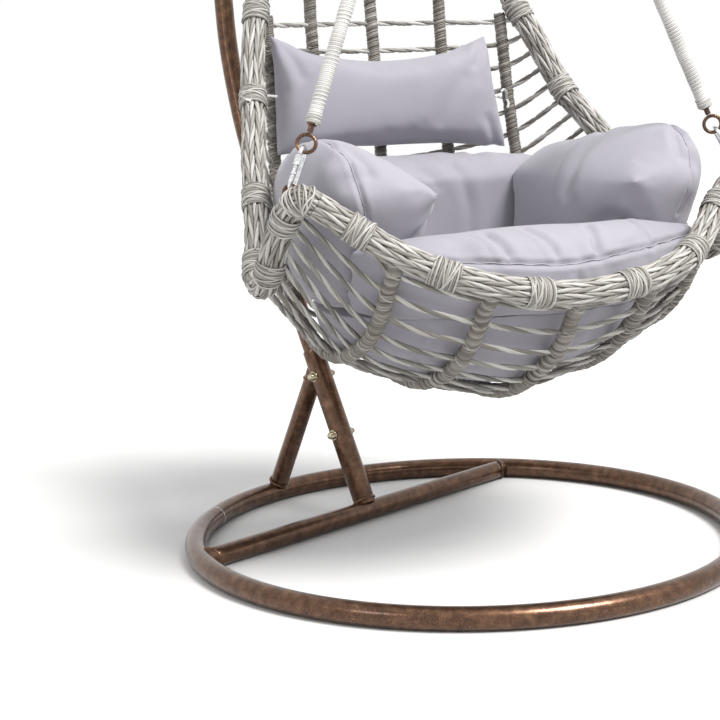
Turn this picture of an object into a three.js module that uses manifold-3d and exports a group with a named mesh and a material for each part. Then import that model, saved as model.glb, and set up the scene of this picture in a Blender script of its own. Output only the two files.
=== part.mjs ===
// Hanging egg chair: a woven basket with cushions, hung by three wrapped rods, a swivel and a
// spring from a bent C-shaped steel stand on a ring base.
// Millimetres, +Z up, the front of the stand towards -Y. The origin is on the floor, under the
// centre of the overall box.
import * as THREE from 'three';
import { mergeVertices } from 'three/addons/utils/BufferGeometryUtils.js';
import { ConvexGeometry } from 'three/addons/geometries/ConvexGeometry.js';
import Module from 'manifold-3d';

const wasm = await Module();
wasm.setup();

// ---- driving dimensions ----
const RING_R = 505, TUBE_R = 20, RING_FLAT = 18.8; // base ring centre line, tube, flat underside
const BAR_Y = 251, BAR_R = 19;                     // cross bar: a chord of the ring
const SLEEVE_R = 21.5, SLEEVE_BORE = 20.2;           // lower post
const POST_R = 18.8, POST_BORE = 17.1;               // bent upper post
const BRACE_R = 18.5;
const BOLT_R = 4, BOLT_HALF = 36;
const HOOK_Y = -63;                                // hook axis, behind the ring's centre line -Y
const EYE_BOW = 1865.5;                            // lowest wire of the welded eye
const SWIVEL_Z = 1651;                             // where the three rods meet
const TURN = -21.5 * Math.PI / 180;                // basket turned on its swivel
const RIM_R = 23, RIB_R = 12, STRAND_R = 4.2, ROD_R = 11.5;
const GAP = 1.2;
const Y_SHIFT = -53.5, Z_SHIFT = RING_FLAT;        // row origin from the ring's centre

// ---- finishes ----
const mat = (hex, rough, metal) => new THREE.MeshStandardMaterial({ color: hex, roughness: rough, metalness: metal });
const BRONZE = mat(0x6b432b, 0.38, 0.7), ZINC = mat(0xc9ccce, 0.25, 1.0), BOLTM = mat(0xb7a77a, 0.3, 1.0);
const WICKER = mat(0xa8a198, 0.55, 0), WRAP = mat(0x9b948c, 0.6, 0), CLOTH = mat(0xa6a3b4, 0.9, 0), CAP = mat(0x2b2422, 0.6, 0);

const root = new THREE.Group();
const stand = new THREE.Group();
stand.position.set(0, Y_SHIFT, Z_SHIFT);
root.add(stand);
const hang = new THREE.Group();                    // hook axis
hang.position.set(0, HOOK_Y, 0);
stand.add(hang);
const basket = new THREE.Group();                  // turned with the swivel
basket.rotation.z = TURN;
hang.add(basket);

const V = (x, y, z) => new THREE.Vector3(x, y, z);
function add(group, name, geometry, material) {
  const m = new THREE.Mesh(geometry, material);
  m.name = name;
  group.add(m);
  return m;
}

// ---- geometry helpers ----
function solid(g) {
  let h = g.index ? g.clone() : g.clone();
  for (const k of Object.keys(h.attributes)) if (k !== 'position') h.deleteAttribute(k);
  h = mergeVertices(h, 1e-3);
  const idx = h.index.array, keep = [];
  for (let i = 0; i < idx.length; i += 3) {
    if (idx[i] !== idx[i + 1] && idx[i + 1] !== idx[i + 2] && idx[i] !== idx[i + 2]) keep.push(idx[i], idx[i + 1], idx[i + 2]);
  }
  return new wasm.Manifold(new wasm.Mesh({ numProp: 3, vertProperties: new Float32Array(h.attributes.position.array), triVerts: new Uint32Array(keep) }));
}
function geo(man) {
  const m = man.getMesh();
  const g = new THREE.BufferGeometry();
  const v = new Float32Array(m.vertProperties.length / m.numProp * 3);
  for (let i = 0; i < v.length / 3; i++) for (let k = 0; k < 3; k++) v[3 * i + k] = m.vertProperties[i * m.numProp + k];
  g.setAttribute('position', new THREE.BufferAttribute(v, 3));
  g.setIndex(new THREE.BufferAttribute(new Uint32Array(m.triVerts), 1));
  g.computeVertexNormals();
  return g;
}
function largest(man) {
  const parts = man.decompose();
  parts.sort((a, b) => b.volume() - a.volume());
  return parts[0];
}
function disc(r, sides, bore = 0) {
  const s = new THREE.Shape();
  for (let i = 0; i < sides; i++) {
    const a = 2 * Math.PI * (i + 0.5) / sides;
    if (i) s.lineTo(r * Math.cos(a), r * Math.sin(a)); else s.moveTo(r * Math.cos(a), r * Math.sin(a));
  }
  s.closePath();
  if (bore) {
    const h = new THREE.Path();
    for (let i = 0; i < sides; i++) {
      const a = -2 * Math.PI * (i + 0.5) / sides;
      if (i) h.lineTo(bore * Math.cos(a), bore * Math.sin(a)); else h.moveTo(bore * Math.cos(a), bore * Math.sin(a));
    }
    h.closePath();
    s.holes.push(h);
  }
  return s;
}
function sweep(points, r, sides, steps, bore = 0) {
  const path = points.length === 2 ? new THREE.LineCurve3(points[0], points[1]) : new THREE.CatmullRomCurve3(points, false, 'catmullrom', 0.5);
  path.arcLengthDivisions = 800;
  return new THREE.ExtrudeGeometry(disc(r, sides, bore), { steps, bevelEnabled: false, extrudePath: path });
}
const rod = (a, b, r, sides, bore = 0) => sweep([a, b], r, sides, 1, bore);
function spindle(a, b, profile, sides) { // lathe profile [radius, distance] turned about the line a-b
  const g = new THREE.LatheGeometry(profile.map(p => new THREE.Vector2(p[0], p[1])), sides);
  const q = new THREE.Quaternion().setFromUnitVectors(V(0, 1, 0), b.clone().sub(a).normalize());
  g.applyQuaternion(q);
  g.translate(a.x, a.y, a.z);
  return g;
}
function torus(c, normal, R, r, seg = 18, sides = 7) {
  const g = new THREE.TorusGeometry(R, r, sides, seg);
  g.applyQuaternion(new THREE.Quaternion().setFromUnitVectors(V(0, 0, 1), normal.clone().normalize()));
  g.translate(c.x, c.y, c.z);
  return g;
}
const sub = (a, ...bs) => bs.reduce((m, b) => m.subtract(b), a);

// ================= stand =================
function ring(r, flat) {
  const pts = [];
  for (let i = 0; i <= 12; i++) {
    const a = 2 * Math.PI * i / 12 - Math.PI / 2 + Math.PI / 12;
    pts.push(new THREE.Vector2(RING_R + r * Math.cos(a), Math.max(-flat, r * Math.sin(a))));
  }
  pts[12].copy(pts[0]);
  const g = new THREE.LatheGeometry(pts, 40);
  g.rotateX(Math.PI / 2);
  return g;
}
const ringFat = solid(ring(TUBE_R + 0.4, RING_FLAT + 0.4));
add(stand, 'base_ring', geo(solid(ring(TUBE_R, RING_FLAT))), BRONZE);

const barHalf = Math.sqrt(RING_R ** 2 - BAR_Y ** 2);
add(stand, 'cross_bar', geo(largest(sub(solid(rod(V(-barHalf, BAR_Y, 0), V(barHalf, BAR_Y, 0), BAR_R * 0.985, 12)), ringFat))), BRONZE);
const barFat = solid(rod(V(-barHalf, BAR_Y, 0), V(barHalf, BAR_Y, 0), BAR_R + 0.4, 12));

const SL0 = V(0, 252.5, 0), SL1 = V(0, 388.4, 308);
const slDir = SL1.clone().sub(SL0).normalize();
const onSleeve = d => SL0.clone().addScaledVector(slDir, d);
const boltAt = [onSleeve(160), onSleeve(283)];       // lower and upper bolt heights along the post
const boltHole = boltAt.map(p => solid(rod(V(-60, p.y, p.z), V(60, p.y, p.z), BOLT_R + 0.35, 8)));
const sleeveTube = solid(rod(SL0, SL1, SLEEVE_R, 12, SLEEVE_BORE));
add(stand, 'post_sleeve', geo(largest(sub(sleeveTube, barFat, ...boltHole))), BRONZE);

const sleeveFat = solid(rod(SL0, onSleeve(400), SLEEVE_R + 0.4, 12));
const BR0 = V(0, 508, 2), BR1 = V(0, 375.7, 279.4);
add(stand, 'rear_brace', geo(largest(sub(solid(rod(BR0, BR1, BRACE_R, 12)), ringFat, sleeveFat))), BRONZE);

// bent post: straight inside the sleeve, then a smooth bow up, back and over the basket
const POST = [[303, 115], [345, 210], [388.8, 309], [431, 406], [490, 548], [551, 712], [580, 812], [600, 912], [609, 1004],
  [613, 1100], [609, 1205], [596, 1320], [568, 1450], [519, 1580], [446, 1700], [352, 1806], [243, 1885], [125, 1926], [20, 1929], [-60, 1917], [-118, 1900]].map(p => V(0, p[0], p[1]));
const postCurve = new THREE.CatmullRomCurve3(POST, false, 'catmullrom', 0.5);
postCurve.arcLengthDivisions = 1000;
const along = (c, u0, u1, n) => Array.from({ length: n + 1 }, (_, i) => c.getPointAt(u0 + (u1 - u0) * i / n));
const JOINT_U = 0.545;                                // where the two bent sections meet
const postSteps = 16;
add(stand, 'upper_post', geo(largest(sub(solid(sweep(along(postCurve, 0.008, JOINT_U, 24), POST_R, 12, postSteps, POST_BORE)), ...boltHole))), BRONZE);
const gapU = 1.2 / postCurve.getLength();
add(stand, 'arch_section', sweep(along(postCurve, JOINT_U + gapU, 1, 26), POST_R, 12, 18, POST_BORE), BRONZE);
add(stand, 'joint_spigot', sweep(along(postCurve, JOINT_U - 0.032, JOINT_U + 0.032, 6), 15.6, 8, 3), BRONZE);
{ // plastic plug in the open end of the arch
  const e = postCurve.getPointAt(1), t = postCurve.getTangentAt(1);
  add(stand, 'end_cap', spindle(e.clone().addScaledVector(t, -18), e.clone().addScaledVector(t, 5), [[0, 0], [15.5, 0], [16, 3], [16, 18.6], [18.6, 18.6], [18.2, 22], [14, 24.5], [0, 25]], 12), CAP);
}
// welded eye under the arch: a U of round bar with its legs against the tube
const eyeR = 15, eyeWire = 4.5, archZ = 1917 - POST_R;
function uEye(base, up, across, R, wire, leg) { // legs start at base +- R across, bow at leg + R along up
  const pts = [base.clone().addScaledVector(across, -R)];
  const mid = base.clone().addScaledVector(up, leg);
  for (let i = 0; i <= 8; i++) {
    const a = Math.PI * i / 8;
    pts.push(mid.clone().addScaledVector(across, -R * Math.cos(a)).addScaledVector(up, R * Math.sin(a)));
  }
  pts.push(base.clone().addScaledVector(across, R));
  return sweep(pts, wire, 7, 16);
}
{
  const tube = solid(sweep(along(postCurve, 0.88, 1, 8), POST_R + 1.1, 12, 10));
  const legTop = V(0, HOOK_Y, 1902);
  const e = solid(uEye(legTop, V(0, 0, -1), V(0, 1, 0), eyeR, eyeWire, 1902 - EYE_BOW - eyeR));
  add(stand, 'hook_eye', geo(largest(sub(e, tube))), BRONZE);
}
// through bolts with dome heads and nuts
boltAt.forEach((p, i) => {
  const n = ['lower', 'upper'][i];
  const a = V(-BOLT_HALF, p.y, p.z), b = V(BOLT_HALF, p.y, p.z);
  add(stand, `bolt_${n}`, spindle(a, b, [[0, 0], [4, 0.8], [6.8, 3.6], [8, 7.5], [8.4, 14.2], [BOLT_R, 14.2], [BOLT_R, 71], [3.4, 72], [0, 72]], 10), BOLTM);
  add(stand, `nut_${n}`, spindle(V(SLEEVE_R + 0.8, p.y, p.z), V(SLEEVE_R + 8, p.y, p.z), [[BOLT_R + 1.1, 0], [8.5, 0], [8.5, 6], [7.4, 7.2], [BOLT_R + 1.1, 7.2], [BOLT_R + 1.1, 0]], 6), BOLTM);
});

// ================= suspension =================
// carabiner: rounded wire frame open on one long side, a hinged gate and a screw sleeve on it
function carabiner(group, prefix, c, up, side, H, W, wire) {
  // c centre, up = long axis, side = towards the gate; frame centre line is a rounded slot
  const r = W / 2, h = H / 2 - r;
  const at = (u, s) => c.clone().addScaledVector(up, u).addScaledVector(side, s);
  const pts = [];
  const gateLow = -h * 0.72, gateHigh = h * 0.86;
  pts.push(at(gateHigh + wire * 0.2, r));
  pts.push(at(h, r));
  for (let i = 1; i < 6; i++) { const a = Math.PI * i / 6; pts.push(at(h + r * Math.sin(a), r * Math.cos(a))); }
  pts.push(at(h, -r)); pts.push(at(0, -r)); pts.push(at(-h, -r));
  for (let i = 1; i < 6; i++) { const a = Math.PI * i / 6; pts.push(at(-h - r * Math.sin(a), -r * Math.cos(a))); }
  pts.push(at(-h, r)); pts.push(at(gateLow - wire * 0.2, r));
  add(group, `${prefix}_body`, sweep(pts, wire, 7, 26), ZINC);
  const g0 = at(gateLow + 0.8, r), g1 = at(gateHigh - 0.8, r);
  add(group, `${prefix}_gate`, rod(g0, g1, wire * 0.8, 8), ZINC);
  const s1 = at(gateHigh - 1.2, r), s0 = at(gateHigh - 1.2 - H * 0.24, r);
  add(group, `${prefix}_sleeve`, rod(s0, s1, wire * 1.55, 10, wire * 0.8 + 0.5), ZINC);
  return { hinge: at(gateLow, r), nose: at(gateHigh, r) };
}
const TOPC_H = 54, TOPC_W = 28, TOPC_R = 3.5;
const TOPC_TOP = EYE_BOW + eyeWire + TOPC_R + 0.4, TOPC_BOT = TOPC_TOP - TOPC_H;
// the top carabiner hangs from the eye: its inner top rests on the eye's bow
const topC = carabiner(hang, 'top_carabiner', V(0, 0, TOPC_TOP - TOPC_H / 2), V(0, 0, 1), V(1, 0, 0), TOPC_H, TOPC_W, TOPC_R);

// tension spring: close coil with a loop at each end; loops lie in the YZ plane
const SPR_WIRE = 3.4, SPR_LOOP = 11, SPR_COIL = 19, SPR_TURNS = 5;
const SPR_TOP = TOPC_BOT + TOPC_R + SPR_WIRE + 0.4, SWIVEL_TOP = 1739.4, SPR_BOT = SWIVEL_TOP - 3 - SPR_WIRE - 0.4;
{
  const pts = [], zt = SPR_TOP - SPR_LOOP, zb = SPR_BOT + SPR_LOOP;
  const rad = Math.PI / 180;
  for (let a = -45; a <= 225; a += 27) pts.push(V(0, SPR_LOOP * Math.cos(a * rad), zt + SPR_LOOP * Math.sin(a * rad)));
  const z1 = zt - SPR_LOOP - 6, z0 = zb + SPR_LOOP + 6, n = SPR_TURNS * 10;
  for (let i = 0; i <= n; i++) { const a = 2 * Math.PI * SPR_TURNS * i / n; pts.push(V(SPR_COIL * Math.sin(a), -SPR_COIL * Math.cos(a), z1 + (z0 - z1) * i / n)); }
  for (let a = 225; a >= -45; a -= 27) pts.push(V(0, SPR_LOOP * Math.cos(a * rad), zb - SPR_LOOP * Math.sin(a * rad)));
  add(hang, 'spring', sweep(pts, SPR_WIRE, 5, 90), ZINC);
}
// swivel: upper eye and barrel turn against the lower ring that takes the rods
{
  const eye = solid(torus(V(0, 0, SWIVEL_TOP - 9), V(0, 1, 0), 9, 3, 14, 6));
  const barrel = solid(spindle(V(0, 0, 1698), V(0, 0, 1723), [[5.2, 0], [11, 0], [11.5, 3], [11.5, 15], [9, 18], [5, 21.5], [4, 23], [0, 24], [0, 12.4], [9.4, 12.4], [9.4, 5], [5.2, 5], [5.2, 0]], 10));
  add(hang, 'swivel_body', geo(eye.add(barrel)), ZINC);
  const stem = solid(spindle(V(0, 0, 1692), V(0, 0, 1710), [[0, 0], [4.4, 0], [4.4, 12], [8.4, 12], [8.4, 17.2], [0, 17.2]], 10));
  const ringL = solid(torus(V(0, 0, SWIVEL_Z + 20), V(0, 1, 0), 20, 4, 18, 6));
  add(basket, 'swivel_ring', geo(ringL.add(stem)), ZINC);
}

// ================= basket frame =================
const half = [ // right half of the rim's centre line, from the middle of the front up to the top
  [50, -313, 491], [110, -311, 498], [170, -300, 511.5], [230, -281, 530], [290, -241, 559.5], [350, -199.5, 601.5], [405, -170, 642],
  [425, -163, 654.5], [437, -152, 650], [445, -130, 628], [451, -97, 585], [455, -76, 542], [456, -62, 520], [452, -34, 506],
  [445, 6, 509], [437, 28, 530], [421, 60, 577], [400, 111, 640], [375, 178, 706], [353, 223, 757], [335, 268, 803], [318.5, 305, 862],
  [301, 335, 920], [280, 368, 980], [263, 391, 1040], [243, 400, 1105], [215, 389, 1178], [175, 355, 1252], [120, 301, 1325], [62, 248, 1380]];
const M = 1; // millimetres
const loop = [V(0, -314, 489), ...half.map(p => V(p[0], p[1], p[2])), V(0, 226, 1401), ...half.slice().reverse().map(p => V(-p[0], p[1], p[2]))];
const rim = new THREE.CatmullRomCurve3(loop, true, 'catmullrom', 0.5);
rim.arcLengthDivisions = 2000;
const rimTable = Array.from({ length: 2001 }, (_, i) => rim.getPointAt((i / 2000) % 1));
function rimU(p) { // arc position of the rim point closest to p
  let best = 0, d = 1e9;
  rimTable.forEach((q, i) => { const e = q.distanceTo(p); if (e < d) { d = e; best = i; } });
  return best / 2000;
}
const uA = rimU(V(412, -168, 646)), uB = rimU(V(445, 6, 509)), uC = rimU(V(263, 391, 1040));
const gu = 0.6 / rim.getLength();
const rimPart = (u0, u1, n) => along(rim, u0 + gu, u1 - gu, n);
const rimSolid = (u0, u1, n, steps, r) => solid(sweep(rimPart(u0, u1, n), r, 8, steps));
const front = [];
for (let i = 0; i <= 24; i++) front.push(rim.getPointAt((1 - uA + gu + (2 * uA - 2 * gu) * i / 24 + 1) % 1));
const FAT = RIM_R + 0.7;
const arch = rimSolid(uC, 1 - uC, 24, 16, RIM_R), archFat = rimSolid(uC - 0.002, 1 - uC + 0.002, 24, 16, FAT);
add(basket, 'top_arch', geo(arch), WICKER);
const fatRim = { arch: archFat };
for (const [n, m] of [['right', u => u], ['left', u => 1 - u]]) {
  const span = (a, b) => (m(a) < m(b) ? [m(a), m(b)] : [m(b), m(a)]);
  const rail = rimSolid(...span(uB, uC), 16, 10, RIM_R).subtract(archFat);
  const railFat = rimSolid(...span(uB, uC), 16, 10, FAT);
  const arm = rimSolid(...span(uA, uB), 16, 12, RIM_R).subtract(railFat);
  const armFat = rimSolid(...span(uA, uB), 16, 12, FAT);
  add(basket, `${n}_rail`, geo(largest(rail)), WICKER);
  add(basket, `${n}_arm_tube`, geo(largest(arm)), WICKER);
  fatRim[n] = railFat.add(armFat);
}
add(basket, 'front_rim', geo(largest(solid(sweep(front, RIM_R, 8, 20)).subtract(fatRim.right).subtract(fatRim.left))), WICKER);
fatRim.front = solid(sweep(front, FAT, 8, 20));
const wholeFat = fatRim.front.add(fatRim.left).add(fatRim.right).add(archFat);

// ribs: from under the front rim, below the bowl and up the back
const RIB = {
  mid: [[0, -296.5, 470], [0, -277, 446], [0, -260, 419], [0, -229, 382], [0, -177, 343], [0, -124, 311], [0, -75, 291], [0, -24, 279], [0, 41, 274],
    [0, 120, 280], [0, 200, 303], [0, 280, 345], [0, 345, 410], [0, 390, 500], [0, 415, 610], [0, 428, 720], [0, 438, 820], [0, 446, 900], [0, 455, 970],
    [0, 460, 1040], [0, 452, 1120], [0, 425, 1200], [0, 375, 1280], [0, 305, 1350], [0, 259, 1382]],
  in: [[160, -284.5, 489], [159, -262, 466], [157, -235, 432], [155, -200, 396], [154, -155, 361], [153, -100, 333], [152, -45, 315], [152, 10, 307],
    [152, 70, 308], [151, 140, 318], [150, 210, 342], [149, 280, 388], [147, 335, 455], [145, 372, 540], [143, 395, 640], [142, 410, 740], [142, 420, 840],
    [142, 427, 920], [142, 432, 980], [140, 432, 1050], [137, 420, 1130], [132, 392, 1210], [126, 350, 1278], [122, 326, 1301]],
  out: [[303, -227.5, 543], [302, -219, 528], [301, -198, 503], [300, -173, 466], [299, -140, 432], [298, -100, 403], [297, -55, 383], [296, -10, 370],
    [294, 50, 364], [291, 110, 373], [288, 165, 392], [284, 215, 425], [279, 262, 475], [274, 297, 540], [269, 325, 620], [264, 345, 700], [259, 357, 780],
    [256, 368, 860], [255, 378, 925], [254, 381, 952]],
};
const ribPts = (key, s) => RIB[key].map(p => V(s * p[0], p[1], p[2]));
const RIBS = [['rib_1', 'out', -1], ['rib_2', 'in', -1], ['rib_3', 'mid', 1], ['rib_4', 'in', 1], ['rib_5', 'out', 1]];
const ribCurve = RIBS.map(([, key, s]) => { const c = new THREE.CatmullRomCurve3(ribPts(key, s), false, 'catmullrom', 0.5); c.arcLengthDivisions = 1200; return c; });
RIBS.forEach(([name, key, s]) => add(basket, name, geo(largest(solid(sweep(ribPts(key, s), RIB_R, 8, key === 'out' ? 20 : 26)).subtract(wholeFat))), WRAP));

// woven rows: the same count of crossings on every rib up to the height where the outer ribs meet the rails
const ROWS = 25, TOP_Z = 945, UPPER = [1005, 1065, 1125, 1185, 1245];
function uAtHeight(c, z) { let u = 0.6; while (u < 1 && c.getPointAt(u).z < z) u += 0.001; return u; }
const crossing = ribCurve.map((c, i) => {
  const out = [], L = c.getLength(), u0 = 10 / L, u1 = uAtHeight(c, TOP_Z);
  for (let k = 0; k < ROWS; k++) out.push(c.getPointAt(u0 + (u1 - u0) * k / (ROWS - 1)));
  if (i > 0 && i < 4) UPPER.forEach(z => out.push(c.getPointAt(uAtHeight(c, z))));
  return out;
});
// row ends on the rim, front to back: one on the front rim, then the arm tube, then the rail
const rimEnds = [];
{
  const marks = [[0, rimU(V(338, -207, 593))], [1, rimU(V(441, -141, 640))], [7, rimU(V(456, -62, 520))], [8, rimU(V(450, -20, 505))], [ROWS - 1, rimU(V(288, 356, 958))]];
  for (let k = 0; k < ROWS; k++) {
    let j = 0; while (j < marks.length - 2 && k > marks[j + 1][0]) j++;
    const f = (k - marks[j][0]) / (marks[j + 1][0] - marks[j][0]);
    rimEnds.push(rim.getPointAt(marks[j][1] + f * (marks[j + 1][1] - marks[j][1])));
  }
}
const flip = p => V(-p.x, p.y, p.z);
const archAt = z => { let u = uC; while (u < 0.5 && rim.getPointAt(u).z < z) u += 0.0005; return rim.getPointAt(u); };
const ribFat = RIBS.map(([, key, s]) => solid(sweep(ribPts(key, s), RIB_R + 0.7, 8, key === 'out' ? 20 : 26)));
function net(name, A, B, rA, rB) { // comb of strands that leave a spine beside A and end just short of B
  const pos = [], idx = [];
  const vert = p => { pos.push(p.x, p.y, p.z); return pos.length / 3 - 1; };
  const quad = (a, b, c, d) => idx.push(a, b, c, a, c, d);
  const P = A.map((a, k) => a.clone().addScaledVector(B[k].clone().sub(a).normalize(), rA + GAP + 3));
  const h = 3.6, w = 2.8;
  let prev = null;
  A.forEach((a, k) => {
    const b = B[k], d = b.clone().sub(a).normalize();
    const t0 = P[Math.min(k + 1, P.length - 1)].clone().sub(P[Math.max(k - 1, 0)]);
    const t = t0.addScaledVector(d, -t0.dot(d)).normalize(), n = t.clone().cross(d);
    const q = b.clone().addScaledVector(d, -(rB + GAP));
    const at = (c, i, j, l) => c.clone().addScaledVector(d, i * w).addScaledVector(n, j * h).addScaledVector(t, l * h);
    const sec = l => [vert(at(P[k], -1, -1, l)), vert(at(P[k], 1, -1, l)), vert(at(P[k], 1, 1, l)), vert(at(P[k], -1, 1, l))];
    const s0 = sec(-1), s1 = sec(1);
    if (prev) for (let e = 0; e < 4; e++) quad(prev[e], prev[(e + 1) % 4], s0[(e + 1) % 4], s0[e]);
    else quad(s0[3], s0[2], s0[1], s0[0]);
    quad(s0[0], s0[1], s1[1], s1[0]); quad(s0[2], s0[3], s1[3], s1[2]); quad(s0[3], s0[0], s1[0], s1[3]);
    const far = (j, l) => vert(q.clone().addScaledVector(n, j * h).addScaledVector(t, l * h));
    const e0 = far(-1, -1), e1 = far(1, -1), e2 = far(1, 1), e3 = far(-1, 1);
    const f0 = s0[1], f1 = s0[2], f2 = s1[2], f3 = s1[1];
    quad(f0, f1, e1, e0); quad(f1, f2, e2, e1); quad(f2, f3, e3, e2); quad(f3, f0, e0, e3); quad(e0, e1, e2, e3);
    prev = s1;
    if (k === A.length - 1) quad(s1[0], s1[1], s1[2], s1[3]);
  });
  const g = new THREE.BufferGeometry();
  g.setAttribute('position', new THREE.BufferAttribute(new Float32Array(pos), 3));
  g.setIndex(idx);
  let m = solid(g);
  if (m.volume() < 0) { const r = []; for (let i = 0; i < idx.length; i += 3) r.push(idx[i], idx[i + 2], idx[i + 1]); g.setIndex(r); m = solid(g); }
  for (const f of [...Object.values(fatRim), ...ribFat]) m = m.subtract(f);
  add(basket, name, geo(largest(m)), WICKER);
}
net('left_side_net', crossing[0], rimEnds.map(flip), RIB_R, RIM_R);
net('right_side_net', crossing[4], rimEnds, RIB_R, RIM_R);
const upArch = UPPER.map(z => archAt(z - 6));
net('left_net', crossing[1], [...crossing[0], ...upArch.map(flip)].map((p, k) => p), RIB_R, RIB_R);
net('centre_left_net', crossing[2], crossing[1], RIB_R, RIB_R);
net('centre_right_net', crossing[2], crossing[3], RIB_R, RIB_R);
net('right_net', crossing[3], [...crossing[4], ...upArch], RIB_R, RIB_R);

// eyes on the arms and at the top of the arch
const EYE = { w: 439, y: -147, z: 646 }, EYE_BOW_R = 11, EYE_WIRE = 3.2, CAR_WIRE = 3.6;
const RINGC = { w: 402, y: -119.5, z: 742 }, RING_N = V(0.56, 0.82, 0.12).normalize(), ringN = {};
for (const [n, s] of [['left', -1], ['right', 1]]) {
  const base = V(s * EYE.w, EYE.y, EYE.z), u = V(s * 0.02, 0.46, 0.888).normalize();
  const rc = V(s * RINGC.w, RINGC.y, RINGC.z);
  const bow = base.clone().addScaledVector(u, 35);
  const down = bow.clone().sub(rc).normalize(); // the ring hangs in a plane that holds the line of pull
  ringN[n] = RING_N.clone().addScaledVector(down, -RING_N.dot(down)).normalize();
  const T = rc.clone().addScaledVector(down, 15.2 - 3.2 - CAR_WIRE - 1.2), B = bow.clone().addScaledVector(u, -(EYE_WIRE + CAR_WIRE + 1.6));
  const up = T.clone().sub(B).normalize();
  const side = ringN[n].clone().multiplyScalar(-1).applyAxisAngle(up, s * 0.2);
  side.addScaledVector(up, -side.dot(up)).normalize();
  const across = u.clone().cross(side).normalize();
  const uu = rimU(V(EYE.w, EYE.y, EYE.z));
  const fat = solid(sweep(along(rim, uu - 0.03, uu + 0.03, 12).map(p => V(s * p.x, p.y, p.z)), RIM_R + 2.4, 8, 12));
  const legs = uEye(base.clone().addScaledVector(u, 10), u, across, EYE_BOW_R, EYE_WIRE, 25 - EYE_BOW_R);
  add(basket, `${n}_arm_eye`, geo(largest(sub(solid(legs), fat))), BRONZE);
  carabiner(basket, `${n}_carabiner`, T.clone().add(B).multiplyScalar(0.5), up, side, T.distanceTo(B), 30, CAR_WIRE);
}
const APEX = V(0, 226, 1401), apexUp = V(0, -0.62, 0.785).normalize();
{
  const fat = solid(sweep(along(rim, 0.485, 0.515, 10), RIM_R + 0.5, 8, 10));
  add(basket, 'top_eye', geo(largest(sub(solid(uEye(APEX.clone().addScaledVector(apexUp, 10), apexUp, V(1, 0, 0), 10, 3.5, 24)), fat))), BRONZE);
}

// hanging rods: wrapped steel rod, an eye at the top and a ring at the bottom
const SW = V(0, 0, SWIVEL_Z);
const BACKC = APEX.clone().addScaledVector(apexUp, 52.3); // where the back rod's ring hangs on the top eye
for (const [n, s] of [['left', -1], ['right', 1], ['back', 0]]) {
  const ra = s * 0.62, radial = V(Math.sin(ra), 0, -Math.cos(ra)); // place on the swivel ring's lower half
  const e = V(0, 0, SWIVEL_Z + 20).addScaledVector(radial, 20 + 1.3);
  const rc = s ? V(s * RINGC.w, RINGC.y, RINGC.z) : BACKC, d = rc.clone().sub(e).normalize();
  const a = e.clone().addScaledVector(d, 30), b = rc.clone().addScaledVector(d, -19.4);
  const wrapEnd = b.clone().addScaledVector(d, -14);
  const body = solid(rod(a, wrapEnd, ROD_R, 8));
  const tip = solid(rod(wrapEnd.clone().addScaledVector(d, -4), b, 5, 8));
  const neck = solid(rod(e.clone().addScaledVector(d, 8.6), a.clone().addScaledVector(d, 4), 3.6, 8));
  const eye = solid(torus(e, V(Math.cos(ra), 0, Math.sin(ra)), 9.2, 2.9, 14, 6));
  add(basket, `${n}_rod`, geo(body.add(tip).add(neck).add(eye)), WRAP);
  add(basket, `${n}_rod_ring`, torus(rc, s ? ringN[n] : V(1, 0, 0), 15.2, 3.2, 18, 6), BRONZE);
}
// ================= cushions =================
function clip(man, x0, x1, y0, y1, z0, z1) {
  const g = new THREE.BoxGeometry(x1 - x0, y1 - y0, z1 - z0);
  g.translate((x0 + x1) / 2, (y0 + y1) / 2, (z0 + z1) / 2);
  return man.intersect(solid(g));
}
const inward = (p, c, d) => p.clone().addScaledVector(c.clone().sub(p).normalize(), d);
const envelope = [];
ribCurve.forEach((c, i) => {
  for (let u = 0.02; u < 0.8; u += 0.035) { const p = c.getPointAt(u); if (p.z < 690) envelope.push(inward(p, V(p.x * 0.6, 40, 640), 22)); }
});
for (const s of [-1, 1]) {
  for (const p of [[0, -262, 560], [120, -254, 566], [210, -222, 590], [290, -168, 640], [338, -134, 722], [352, -104, 742], [368, -60, 752], [386, 0, 742], [370, 90, 722], [332, 170, 715], [285, 250, 702], [225, 312, 694], [110, 358, 694], [0, 372, 694]]) envelope.push(V(s * p[0], p[1], p[2]));
  for (const p of [[395, -60, 600], [400, -30, 560], [385, 40, 580], [350, 130, 600], [372, -136, 690], [368, -130, 640], [352, -25, 468], [345, 45, 468], [338, -85, 492], [330, 110, 482]]) envelope.push(V(s * p[0], p[1], p[2]));
}
const env = solid(new ConvexGeometry(envelope));
const SEAT_Z = 452, G = 3;
const SLANT = [0, 0.868, 0.497], SLANT_AT = 168;    // between the front roll and the side pads: it leans forward
add(basket, 'seat_cushion', geo(clip(env, -600, 600, -600, 215, 0, SEAT_Z)), CLOTH);
add(basket, 'front_bolster', geo(clip(env, -600, 600, -600, 0, SEAT_Z + G, 582).trimByPlane(SLANT.map(v => -v), -SLANT_AT + G / 2)), CLOTH);
for (const [n, s] of [['left', -1], ['right', 1]]) {
  const block = clip(env, s < 0 ? -600 : 180, s < 0 ? -180 : 600, -400, 240, SEAT_Z + G, 900).trimByPlane(SLANT, SLANT_AT + G / 2);
  add(basket, `${n}_bolster`, geo(block.trimByPlane([s * 0.5635, 0, -0.8287], -441)), CLOTH);
}
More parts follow.
